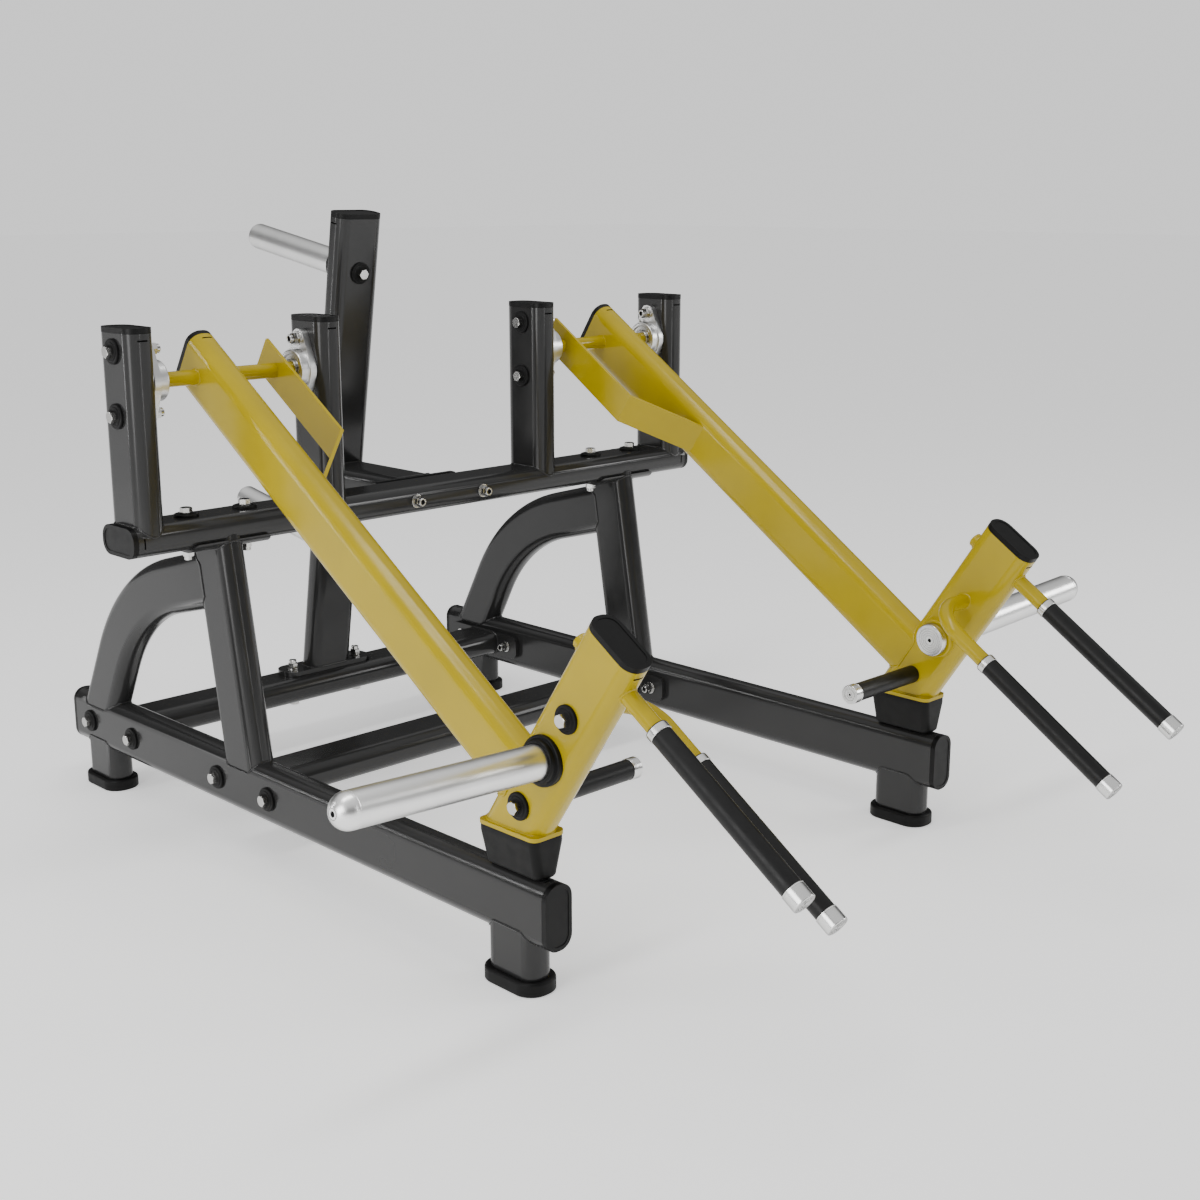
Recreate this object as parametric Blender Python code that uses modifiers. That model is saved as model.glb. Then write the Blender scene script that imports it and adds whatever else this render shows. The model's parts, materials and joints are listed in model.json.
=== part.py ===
"""Plate-loaded squat and deadlift machine with two independent lever arms.

Metres, +Z up, the user stands at the -Y side and faces +Y.  The origin is on the floor at the
centre of the machine's outline.  Everything fixed is modelled in world axes.  Everything that
swings is modelled in arm axes (origin on the pivot, +Y back along the arm, +Z square to it) and
parented to an empty on the pivot axis, which holds the arm's rest angle.
"""

import math

import bmesh
import bpy
from mathutils import Matrix, Vector

# Tube stock: flat-oval steel tube, used for every structural member.
TUBE_WIDE = 0.100
TUBE_THIN = 0.050
TUBE_CORNER = 0.022
WALL = 0.003
JOINED_THIN = TUBE_THIN - 0.0004      # members welded flush to another tube stay just inside its faces
JOINED_WIDE = TUBE_WIDE - 0.0004
CAP = 0.009                           # visible thickness of a plastic end cap
PLUG = 0.014                          # how far a cap's plug reaches into its tube
GAP = 0.0003                          # clearance between pieces that touch
BORE_CLEAR = 0.0009                   # and round a bar in its bore
OPEN_END = 0.020                      # how far a hollow is cut past a tube's open end

# Side frames.
RAIL_X = 0.4658
RAIL_Z = 0.1258
RAIL_FRONT_Y = -0.5208
RAIL_REAR_Y = 0.8269
LEG_YS = (-0.4376, 0.7400)
FOOT_MARGIN = 0.009
FOOT_HEIGHT = 0.022
FOOT_FLOOR = 0.008
STRUT_FOOT_Y = 0.2436
BRACE_FOOT = (0.7561, 0.1258)         # curved brace, (y, z) where its straight foot meets the rail's axis
BRACE_BEND_Z = 0.2662                 # height where its bend starts
BRACE_RADIUS = 0.350
BRACE_TURN = math.radians(46.5)
BRACE_FOOT_SLOPE = math.radians(118.5)
BRACE_TOP_Y = 0.3100
BRACE_STEPS = 7

# Upper frame and pivot.
PIVOT_Y = 0.3154
PIVOT_Z = 0.8155
BEAM_Z = 0.5641
BEAM_HALF = 0.6476
UPRIGHT_XS = (0.2508, 0.6090)
UPRIGHT_TOP = 0.9040
SADDLE_LENGTH = 0.150
SADDLE_PLATE = 0.005
SADDLE_TOP = 0.549
SADDLE_BOLT_OFFSET = 0.056

# Crossmembers.
FRONT_CROSS_Y = 0.2393
REAR_CROSS_Y = 0.6846
END_PLATE = (0.220, 0.050, 0.010)
END_PLATE_CORNER = 0.015

# Storage post.
POST_TOP = 1.0722                     # of its centre line, cap included
POST_LEAN = math.radians(9.79)
POST_AXIS_Y = 0.7121                  # where the post's centre line would reach the floor
POST_FLANGE = (0.210, 0.064, 0.0097)
POST_FLANGE_Y = 0.6896
POST_BOLT = (0.078, 0.6886)
BRACE_FLANGE = (0.200, 0.053, 0.008)
BRACE_FLANGE_Z = 0.5615
STORAGE_ZS = {"upper": 0.9685, "lower": 0.4194}
STORAGE_LENGTH = 0.3195               # from the post's axis
SLEEVE_R = 0.025
COLLAR_R = 0.037

# Bearings and shaft.
SHAFT_R = 0.0125
RING_R = 0.017
HOUSING_BORE_R = 0.0178
HOUSING_BOLT_Z = 0.051
HOUSING_LOBE_R = 0.0165
HOUSING_MIDDLE_R = 0.0362
HOUSING_FLANGE = 0.012
HOUSING_BOSS_R = 0.033
HOUSING_DEPTH = 0.0283
RING_DEPTH = 0.0305

# Lever arms, in arm axes: U is the distance forward of the pivot, W the distance above the arm's axis.
ARM_ANGLE = math.radians(33.3)
ARM_X = 0.4645
ARM_W = 0.003
ARM_REAR_U = -0.054
HANDLE_U = 0.9455
HANDLE_TOP_W = 0.302
REST_PLATE = (0.062, 0.122, 0.006)
REST_PLATE_CORNER = 0.012
REST_PLATE_Y = -0.4419
REST_PLATE_Z = 0.2387
GUSSET_X = 0.3325
GUSSET_PLATE = 0.006
GUSSET_W = (-0.0286, 0.0328)
GUSSET_REAR_U = -0.046
GUSSET_BEND_U = 0.202
GUSSET_END_U = 0.313
BUMPER_TOP = (0.060, 0.120)
BUMPER_BASE = (0.041, 0.115)
BUMPER_CORNER = 0.011
HORN_W = 0.0786
HORN_TILT = math.radians(4.4)
HORN_SPINDLE_R = 0.014
HORN_START = 0.0433
HORN_END = 0.361
HORN_COLLAR = (0.0287, 0.0430)
HORN_BOSS = (0.033, 0.036)            # radius, and how far its face is from the arm's centre plane
HORN_BOSS_ROOT = 0.0235               # and its root, inside the tube's wall
HORN_DISC = (0.028, 0.0385, 0.0504)

# Handles.
BAR_R = 0.0125
GRIP_R = 0.0155
GRIP_CAP_R = 0.0165
GRIP_RING = 0.012
GRIP_CAP = 0.024
STRAIGHT_W = 0.2496
STRAIGHT_REAR_U = 0.8865
STRAIGHT_GRIP = (1.054, 1.350)
CURVED_W = 0.1636
CURVED_X = 0.3489
CURVED_BEND = 0.060
CURVED_GRIP = (1.069, 1.363)
PEG_W = -0.0153
PEG_TIP_X = 0.2592
PEG_CAP = 0.017

# Fasteners, M12.
BOLT_R = 0.006
BOLT_HOLE_R = 0.0068
WASHER_R = 0.021
WASHER = 0.0035
HEAD_R = 0.0110
HEAD = 0.0085

CORNER_STEPS = 3                      # facets of a tube's round edges, outside
INNER_STEPS = 2                       # and inside
TURN_STEPS = 16
X_AXIS = Vector((1, 0, 0))
Y_AXIS = Vector((0, 1, 0))
Z_AXIS = Vector((0, 0, 1))

for leftover in list(bpy.data.objects):
    bpy.data.objects.remove(leftover, do_unlink=True)

machine = bpy.data.collections.new("lever_squat_machine")
bpy.context.scene.collection.children.link(machine)


# ---------------------------------------------------------------- materials

def material(name, colour, roughness, metallic):
    made = bpy.data.materials.new(name)
    made.use_nodes = True
    shader = made.node_tree.nodes["Principled BSDF"]
    shader.inputs["Base Color"].default_value = (*colour, 1)
    shader.inputs["Roughness"].default_value = roughness
    shader.inputs["Metallic"].default_value = metallic
    return made


FRAME_PAINT = material("frame_paint", (0.085, 0.088, 0.092), 0.45, 0.0)
ARM_PAINT = material("arm_paint", (0.52, 0.40, 0.05), 0.38, 0.0)
PLASTIC = material("black_plastic", (0.015, 0.015, 0.016), 0.6, 0.0)
RUBBER = material("black_rubber", (0.012, 0.012, 0.012), 0.8, 0.0)
CHROME = material("chrome", (0.80, 0.80, 0.81), 0.12, 1.0)
CAST = material("bearing_cast_iron", (0.55, 0.56, 0.57), 0.45, 0.8)
ZINC = material("zinc_steel", (0.60, 0.60, 0.60), 0.3, 1.0)


# ---------------------------------------------------------------- outlines

def arc_points(centre, radius, start, turn, steps):
    """Points on an arc, from angle start through turn, both ends included."""
    angles = [start + turn * step / steps for step in range(steps + 1)]
    return [(centre[0] + radius * math.cos(a), centre[1] + radius * math.sin(a)) for a in angles]


def rounded(width, height, radius, steps=CORNER_STEPS):
    """Outline of a rectangle with round corners, centred on the origin."""
    points = []
    for corner in range(4):
        start = corner * math.pi / 2
        side_x = 1 if corner in (0, 3) else -1
        side_y = 1 if corner < 2 else -1
        centre = (side_x * (width / 2 - radius), side_y * (height / 2 - radius))
        points += arc_points(centre, radius, start, math.pi / 2, steps)
    return points


def tube_outline(thin=TUBE_THIN, wide=TUBE_WIDE):
    """Flat-oval tube section, wide along its own X."""
    return rounded(wide, thin, TUBE_CORNER)


def tube_hole(thin=TUBE_THIN, wide=TUBE_WIDE, inset=WALL):
    """The inside of the same tube, or the outline of something that fits it."""
    return rounded(wide - 2 * inset, thin - 2 * inset, TUBE_CORNER - inset, INNER_STEPS)


def lobed(lobe_distance, lobe_radius, middle_radius):
    """Outline of a two-bolt flange: a round middle and two round lobes joined by tangent lines."""
    lean = math.acos((middle_radius - lobe_radius) / lobe_distance)
    lobe_turn = 2 * lean
    middle_turn = math.pi - 2 * lean
    points = []
    for side in (1, -1):
        start = side * math.pi / 2
        points += arc_points((0, side * lobe_distance), lobe_radius, start - lean, lobe_turn, 6)
        points += arc_points((0, 0), middle_radius, start + lean, middle_turn, 3)
    return points


# ---------------------------------------------------------------- solids

def axes_at(origin, along, across):
    """Placement whose +Z runs along a piece and whose +X runs across it."""
    z = Vector(along).normalized()
    x = (Vector(across) - Vector(across).dot(z) * z).normalized()
    placement = Matrix((x, z.cross(x), z)).transposed().to_4x4()
    placement.translation = Vector(origin)
    return placement


def evaluated_mesh(obj):
    """The object's mesh with its modifiers applied, in world axes, welded and facing outwards."""
    depsgraph = bpy.context.evaluated_depsgraph_get()
    mesh = bpy.data.meshes.new_from_object(obj.evaluated_get(depsgraph))
    work = bmesh.new()
    work.from_mesh(mesh)
    bmesh.ops.transform(work, matrix=obj.matrix_world, verts=work.verts)
    bmesh.ops.remove_doubles(work, verts=work.verts, dist=0.00001)
    bmesh.ops.recalc_face_normals(work, faces=work.faces)
    work.to_mesh(mesh)
    work.free()
    return mesh


def as_solid(obj):
    """Replaces a curve, or an object with modifiers, by a plain mesh object in world axes."""
    bpy.context.view_layer.update()
    solid = bpy.data.objects.new("solid", evaluated_mesh(obj))
    machine.objects.link(solid)
    bpy.data.objects.remove(obj, do_unlink=True)
    return solid


def slab(outline, thickness, placement):
    """A flat outline given a thickness, half to each side of the placement's XY plane."""
    curve = bpy.data.curves.new("slab", "CURVE")
    curve.dimensions = "2D"
    curve.fill_mode = "BOTH"
    curve.extrude = thickness / 2
    spline = curve.splines.new("POLY")
    spline.points.add(len(outline) - 1)
    for point, (x, y) in zip(spline.points, outline):
        point.co = (x, y, 0, 1)
    spline.use_cyclic_u = True
    obj = bpy.data.objects.new("slab", curve)
    obj.matrix_world = placement
    machine.objects.link(obj)
    return as_solid(obj)


def bar(outline, start, end, across):
    """A straight bar of the given section from start to end."""
    start = Vector(start)
    end = Vector(end)
    return slab(outline, (end - start).length, axes_at((start + end) / 2, end - start, across))


def box(low, high):
    """An axis-aligned block between two corners."""
    mesh = bpy.data.meshes.new("box")
    work = bmesh.new()
    size = [b - a for a, b in zip(low, high)]
    middle = [(a + b) / 2 for a, b in zip(low, high)]
    bmesh.ops.create_cube(work, size=1, matrix=Matrix.Translation(middle) @ Matrix.Diagonal((*size, 1)))
    work.to_mesh(mesh)
    work.free()
    obj = bpy.data.objects.new("box", mesh)
    machine.objects.link(obj)
    return obj


def rod(radius, start, end, sides=TURN_STEPS):
    """A round bar from start to end."""
    start = Vector(start)
    end = Vector(end)
    placement = axes_at((start + end) / 2, end - start, Vector((0.3, 0.5, 0.8)))
    mesh = bpy.data.meshes.new("rod")
    work = bmesh.new()
    bmesh.ops.create_cone(work, cap_ends=True, segments=sides, radius1=radius, radius2=radius,
                          depth=(end - start).length, matrix=placement)
    work.to_mesh(mesh)
    work.free()
    obj = bpy.data.objects.new("rod", mesh)
    machine.objects.link(obj)
    return obj


def turned(profile, placement, closed=False, sides=TURN_STEPS):
    """A solid turned about the placement's +Z from (radius, height) points.

    An open profile starts and ends on the axis; a closed one makes a ring.
    """
    mesh = bpy.data.meshes.new("profile")
    count = len(profile)
    links = [(i, (i + 1) % count) for i in range(count if closed else count - 1)]
    mesh.from_pydata([(radius, 0, height) for radius, height in profile], links, [])
    obj = bpy.data.objects.new("turned", mesh)
    screw = obj.modifiers.new("screw", "SCREW")
    screw.steps = sides
    screw.render_steps = sides
    screw.use_merge_vertices = True
    screw.merge_threshold = 0.00001
    obj.matrix_world = placement
    machine.objects.link(obj)
    return as_solid(obj)


def ring(inner, outer, low, high, placement, sides=TURN_STEPS):
    """A plain ring between two heights on the placement's +Z."""
    profile = [(outer, high), (outer, low), (inner, low), (inner, high)]
    return turned(profile, placement, closed=True, sides=sides)


def combine(base, others, operation):
    """Joins others to base, or cuts them from it, and removes them."""
    for other in others:
        modifier = base.modifiers.new(operation, "BOOLEAN")
        modifier.operation = operation
        modifier.object = other
    solid = as_solid(base)
    for other in others:
        bpy.data.objects.remove(other, do_unlink=True)
    return solid


def unite(base, *others):
    return combine(base, others, "UNION")


def cut(base, *others):
    return combine(base, others, "DIFFERENCE")


def finish(obj, name, look, parent=None):
    """Names a solid, gives it its material, and hangs it on its parent empty."""
    obj.name = name
    obj.data.name = name
    obj.data.materials.clear()
    obj.data.materials.append(look)
    obj.data.shade_smooth()
    obj.data.set_sharp_from_angle(angle=math.radians(30))
    obj.parent = parent
    return obj


def mirror_copy(obj):
    """The same solid on the other side of the plane x = 0."""
    mesh = obj.data.copy()
    work = bmesh.new()
    work.from_mesh(mesh)
    bmesh.ops.transform(work, matrix=Matrix.Diagonal((-1, 1, 1, 1)), verts=work.verts)
    bmesh.ops.reverse_faces(work, faces=work.faces)
    work.to_mesh(mesh)
    work.free()
    copy = bpy.data.objects.new("mirrored", mesh)
    machine.objects.link(copy)
    return copy


def both_sides(obj, name, look, parents=(None, None)):
    """Finishes a solid of the +X side as NAME_right and its mirror image as NAME_left."""
    copy = mirror_copy(obj)
    finish(obj, name + "_right", look, parents[0])
    finish(copy, name + "_left", look, parents[1])


def tube_pair(start, end, across, thin=JOINED_THIN, over=0.0):
    """Outer and inner solids of one straight tube; the inner runs over both ends by the given length."""
    reach = (Vector(end) - Vector(start)).normalized() * over
    outer = bar(tube_outline(thin), start, end, across)
    inner = bar(tube_hole(thin), Vector(start) - reach, Vector(end) + reach, across)
    return outer, inner


def hollow(pairs):
    """One welded, hollow tube frame from (outer, inner) pairs whose insides connect."""
    outer = unite(pairs[0][0], *[pair[0] for pair in pairs[1:]])
    inner = unite(pairs[0][1], *[pair[1] for pair in pairs[1:]])
    return cut(outer, inner)


def end_cap(seat, outward, across, thin=TUBE_THIN):
    """A plastic cap whose visible part starts at seat and whose plug reaches back into the tube."""
    outward = Vector(outward)
    seat = Vector(seat)
    lid = bar(tube_outline(thin), seat + outward * GAP, seat + outward * CAP, across)
    plug_outline = tube_hole(thin, inset=WALL + 2 * GAP)
    plug = bar(plug_outline, seat - outward * PLUG, seat + outward * (GAP + CAP) / 2, across)
    return unite(lid, plug)


# ---------------------------------------------------------------- fixed frame

def brace_route():
    """Centre line of the curved brace: straight foot, bend, straight top."""
    foot_direction = Vector((0, math.cos(BRACE_FOOT_SLOPE), math.sin(BRACE_FOOT_SLOPE)))
    foot = Vector((RAIL_X, *BRACE_FOOT))
    bend_start = foot + foot_direction * (BRACE_BEND_Z - BRACE_FOOT[1]) / foot_direction.z
    centre = bend_start + Vector((0, -foot_direction.z, foot_direction.y)) * BRACE_RADIUS
    route = [foot]
    for step in range(BRACE_STEPS + 1):
        angle = BRACE_FOOT_SLOPE - math.pi / 2 + BRACE_TURN * step / BRACE_STEPS
        route.append(centre + Vector((0, math.cos(angle), math.sin(angle))) * BRACE_RADIUS)
    top_angle = BRACE_FOOT_SLOPE + BRACE_TURN
    top_run = (BRACE_TOP_Y - route[-1].y) / math.cos(top_angle)
    route.append(route[-1] + Vector((0, math.cos(top_angle), math.sin(top_angle))) * top_run)
    return route


def swept_brace(outline):
    """The curved brace as a solid of the given section."""
    route = brace_route()
    section = bpy.data.curves.new("section", "CURVE")
    section.dimensions = "2D"
    loop = section.splines.new("POLY")
    loop.points.add(len(outline) - 1)
    for point, (wide, thin) in zip(loop.points, outline):
        point.co = (thin, wide, 0, 1)
    loop.use_cyclic_u = True
    section_object = bpy.data.objects.new("section", section)
    machine.objects.link(section_object)
    curve = bpy.data.curves.new("brace", "CURVE")
    curve.dimensions = "3D"
    curve.bevel_mode = "OBJECT"
    curve.bevel_object = section_object
    curve.use_fill_caps = True
    spline = curve.splines.new("POLY")
    spline.points.add(len(route) - 1)
    for point, place in zip(spline.points, route):
        point.co = (*place, 1)
    obj = bpy.data.objects.new("brace", curve)
    machine.objects.link(obj)
    solid = as_solid(obj)
    bpy.data.objects.remove(section_object, do_unlink=True)
    return solid


def saddle_blank(length, margin):
    """A stretch of the beam's own shape, grown by a margin, over the side frame."""
    outline = rounded(TUBE_WIDE + 2 * margin, TUBE_THIN + 2 * margin, TUBE_CORNER + margin)
    reach = X_AXIS * length / 2
    middle = Vector((RAIL_X, PIVOT_Y, BEAM_Z))
    return bar(outline, middle - reach, middle + reach, Y_AXIS)


def side_frame():
    """Rail, two legs, leaning strut, curved brace and the saddle plate under the beam."""
    rail_start = (RAIL_X, RAIL_FRONT_Y + CAP, RAIL_Z)
    rail_end = (RAIL_X, RAIL_REAR_Y - CAP, RAIL_Z)
    members = [tube_pair(rail_start, rail_end, Z_AXIS, thin=TUBE_THIN, over=OPEN_END)]
    for leg_y in LEG_YS:
        joint = (RAIL_X, leg_y, RAIL_Z)
        outer = bar(tube_outline(JOINED_THIN), (RAIL_X, leg_y, FOOT_FLOOR + GAP), joint, Y_AXIS)
        inner = bar(tube_hole(JOINED_THIN), (RAIL_X, leg_y, 0), joint, Y_AXIS)
        members.append((outer, inner))
    strut_top = (RAIL_X, PIVOT_Y + 0.0018, BEAM_Z)
    strut_outer, strut_inner = tube_pair((RAIL_X, STRUT_FOOT_Y, RAIL_Z), strut_top, Y_AXIS)
    saddle_outer = GAP + SADDLE_PLATE
    strut_inner = cut(strut_inner, saddle_blank(0.2, saddle_outer))
    members.append((strut_outer, strut_inner))
    members.append((swept_brace(tube_outline(JOINED_THIN)), swept_brace(tube_hole(JOINED_THIN))))
    frame = hollow(members)
    saddle = saddle_blank(SADDLE_LENGTH, saddle_outer)
    frame = unite(frame, saddle)
    above = box((RAIL_X - 0.1, PIVOT_Y - 0.1, SADDLE_TOP), (RAIL_X + 0.1, PIVOT_Y + 0.1, SADDLE_TOP + 0.1))
    holes = [saddle_bolt_hole(side) for side in (-1, 1)]
    return cut(frame, saddle_blank(0.2, GAP), above, *holes)


def saddle_bolt_hole(side):
    x = RAIL_X + side * SADDLE_BOLT_OFFSET
    return rod(BOLT_HOLE_R, (x, PIVOT_Y, BEAM_Z - 0.06), (x, PIVOT_Y, BEAM_Z + 0.06), 12)


def rubber_foot(leg_y):
    """A rubber boot around the end of a leg."""
    outline = rounded(TUBE_WIDE + 2 * FOOT_MARGIN, TUBE_THIN + 2 * FOOT_MARGIN, TUBE_CORNER + FOOT_MARGIN)
    boot = bar(outline, (RAIL_X, leg_y, 0), (RAIL_X, leg_y, FOOT_HEIGHT), Y_AXIS)
    pocket_outline = rounded(TUBE_WIDE + 2 * GAP, TUBE_THIN + 2 * GAP, TUBE_CORNER)
    pocket = bar(pocket_outline, (RAIL_X, leg_y, FOOT_FLOOR), (RAIL_X, leg_y, FOOT_HEIGHT + 0.01), Y_AXIS)
    return cut(boot, pocket)


def upper_frame():
    """Cross beam with four uprights, open at every tube end."""
    tube_half = BEAM_HALF - CAP
    beam_start = (-tube_half, PIVOT_Y, BEAM_Z)
    members = [tube_pair(beam_start, (tube_half, PIVOT_Y, BEAM_Z), Y_AXIS, thin=TUBE_THIN, over=OPEN_END)]
    for distance in UPRIGHT_XS:
        for side in (-1, 1):
            foot = Vector((side * distance, PIVOT_Y, BEAM_Z))
            top = Vector((side * distance, PIVOT_Y, UPRIGHT_TOP - CAP))
            outer = bar(tube_outline(wide=JOINED_WIDE), foot, top, Y_AXIS)
            inner = bar(tube_hole(wide=JOINED_WIDE), foot, top + Z_AXIS * OPEN_END, Y_AXIS)
            members.append((outer, inner))
    frame = hollow(members)
    holes = []
    for side in (-1, 1):
        for offset in (-SADDLE_BOLT_OFFSET, SADDLE_BOLT_OFFSET):
            x = side * RAIL_X + offset
            holes.append(rod(BOLT_HOLE_R, (x, PIVOT_Y, BEAM_Z - 0.05), (x, PIVOT_Y, BEAM_Z + 0.05), 12))
    return cut(frame, *holes)


def crossmember(y):
    """Tube between the rails with a bolting plate across each end."""
    inside = RAIL_X - TUBE_THIN / 2 - GAP
    width, height, thickness = END_PLATE
    plate_outline = rounded(width, height, END_PLATE_CORNER)
    pieces = []
    for side in (-1, 1):
        outer_face = (side * inside, y, RAIL_Z)
        pieces.append(bar(plate_outline, (side * (inside - thickness), y, RAIL_Z), outer_face, Y_AXIS))
    reach = X_AXIS * (inside - thickness / 2)
    middle = Vector((0, y, RAIL_Z))
    tube, inner = tube_pair(middle - reach, middle + reach, Y_AXIS, over=OPEN_END)
    return cut(unite(tube, *pieces), inner)


def post_point(z, off=0.0):
    """A point at a height on the post's axis, or off it square to the post, towards the rear."""
    on_axis = Vector((0, POST_AXIS_Y - z * math.tan(POST_LEAN), z))
    return on_axis + Vector((0, math.cos(POST_LEAN), math.sin(POST_LEAN))) * off


def storage_post():
    """Leaning post with its base flange, its forward brace and the brace's flange."""
    up = Vector((0, -math.sin(POST_LEAN), math.cos(POST_LEAN)))
    cross_top = RAIL_Z + TUBE_THIN / 2
    flange_bottom = cross_top + GAP
    flange_top = flange_bottom + POST_FLANGE[2]
    tube_top = post_point(POST_TOP) - up * CAP
    outer = bar(tube_outline(), post_point(flange_top - OPEN_END), tube_top, X_AXIS)
    inner = bar(tube_hole(), post_point(flange_top - OPEN_END), tube_top + up * OPEN_END, X_AXIS)
    inner = cut(inner, box((-0.2, 0.5, 0.05), (0.2, 0.9, flange_top)))
    beam_rear = PIVOT_Y + TUBE_WIDE / 2 + GAP
    flange_rear = beam_rear + BRACE_FLANGE[2]
    brace_end = post_point(BEAM_Z)
    brace = bar(tube_outline(wide=JOINED_WIDE), (0, flange_rear - 0.004, BEAM_Z), brace_end, X_AXIS)
    brace_inner = bar(tube_hole(wide=JOINED_WIDE), (0, flange_rear, BEAM_Z), brace_end, X_AXIS)
    frame = cut(unite(outer, brace), unite(inner, brace_inner))
    frame = cut(frame, box((-0.2, 0.5, 0.05), (0.2, 0.9, flange_bottom + 0.002)))
    base_outline = rounded(POST_FLANGE[0], POST_FLANGE[1], 0.027)
    base = bar(base_outline, (0, POST_FLANGE_Y, flange_bottom), (0, POST_FLANGE_Y, flange_top), X_AXIS)
    plate_outline = rounded(BRACE_FLANGE[0], BRACE_FLANGE[1], 0.012)
    plate = bar(plate_outline, (0, beam_rear, BRACE_FLANGE_Z), (0, flange_rear, BRACE_FLANGE_Z), X_AXIS)
    frame = unite(frame, base, plate)
    holes = [post_bolt_hole(side, cross_top) for side in (-1, 1)]
    return cut(frame, *holes)


def post_bolt_hole(side, z):
    x = side * POST_BOLT[0]
    return rod(BOLT_HOLE_R, (x, POST_BOLT[1], z - 0.08), (x, POST_BOLT[1], z + 0.03), 12)


def rear_crossmember():
    """The rear crossmember is drilled for the post's two base bolts."""
    holes = [post_bolt_hole(side, RAIL_Z + TUBE_THIN / 2) for side in (-1, 1)]
    return cut(crossmember(REAR_CROSS_Y), *holes)


def through_bolt(head, direction, grip_length, tail, washer=WASHER):
    """Hex bolt with a washer under its head, and a washer and nut at its far end.

    head is the point on the clamped surface under the head, direction points along the shank.
    """
    placement = axes_at(head, direction, Y_AXIS + X_AXIS * 0.5)
    shank_end = placement @ Vector((0, 0, grip_length + tail))
    shank = rod(BOLT_R, placement @ Vector((0, 0, -washer)), shank_end, 12)
    head_top = placement @ Vector((0, 0, -washer - HEAD))
    hexagon = rod(HEAD_R, head_top, placement @ Vector((0, 0, -washer + 0.0005)), 6)
    seat = rod(WASHER_R, placement @ Vector((0, 0, -washer)), placement @ Vector((0, 0, -GAP)), 12)
    far = grip_length + GAP
    far_seat = rod(0.012, placement @ Vector((0, 0, far)), placement @ Vector((0, 0, far + 0.0025)), 12)
    nut_start = placement @ Vector((0, 0, far + 0.002))
    nut = rod(HEAD_R, nut_start, placement @ Vector((0, 0, far + 0.0125)), 6)
    return unite(shank, hexagon, seat, far_seat, nut)


def storage_horn(z):
    """Chromed tube with a closed end, square to the post's rear face."""
    out = Vector((0, math.cos(POST_LEAN), math.sin(POST_LEAN)))
    root = TUBE_THIN / 2 + GAP
    inner = SLEEVE_R - WALL
    edge = 0.003
    profile = [(0, STORAGE_LENGTH), (SLEEVE_R - edge, STORAGE_LENGTH), (SLEEVE_R, STORAGE_LENGTH - edge),
               (SLEEVE_R, root), (inner, root), (inner, STORAGE_LENGTH - 0.006), (0, STORAGE_LENGTH - 0.006)]
    return turned(profile, axes_at(post_point(z), out, X_AXIS))


def storage_collar(z):
    out = Vector((0, math.cos(POST_LEAN), math.sin(POST_LEAN)))
    low = TUBE_THIN / 2 + GAP
    return ring(SLEEVE_R + BORE_CLEAR, COLLAR_R, low, low + 0.010, axes_at(post_point(z), out, X_AXIS))


def bearing_housing(upright_face, facing):
    """Two-bolt flange housing standing on an upright's face, facing +1 or -1 along X."""
    placement = axes_at((upright_face, PIVOT_Y, PIVOT_Z), X_AXIS * facing, Y_AXIS)
    outline = lobed(HOUSING_BOLT_Z, HOUSING_LOBE_R, HOUSING_MIDDLE_R)
    flange = slab(outline, HOUSING_FLANGE, placement @ Matrix.Translation((0, 0, HOUSING_FLANGE / 2 + GAP)))
    profile = [(0, HOUSING_DEPTH), (HOUSING_BOSS_R - 0.003, HOUSING_DEPTH),
               (HOUSING_BOSS_R, HOUSING_DEPTH - 0.003), (HOUSING_BOSS_R + 0.001, HOUSING_FLANGE / 2),
               (0, HOUSING_FLANGE / 2)]
    boss = turned(profile, placement)
    bore_start = placement @ Vector((0, 0, -0.01))
    bore_end = placement @ Vector((0, 0, 0.05))
    return cut(unite(flange, boss), rod(HOUSING_BORE_R, bore_start, bore_end, 20))


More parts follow.
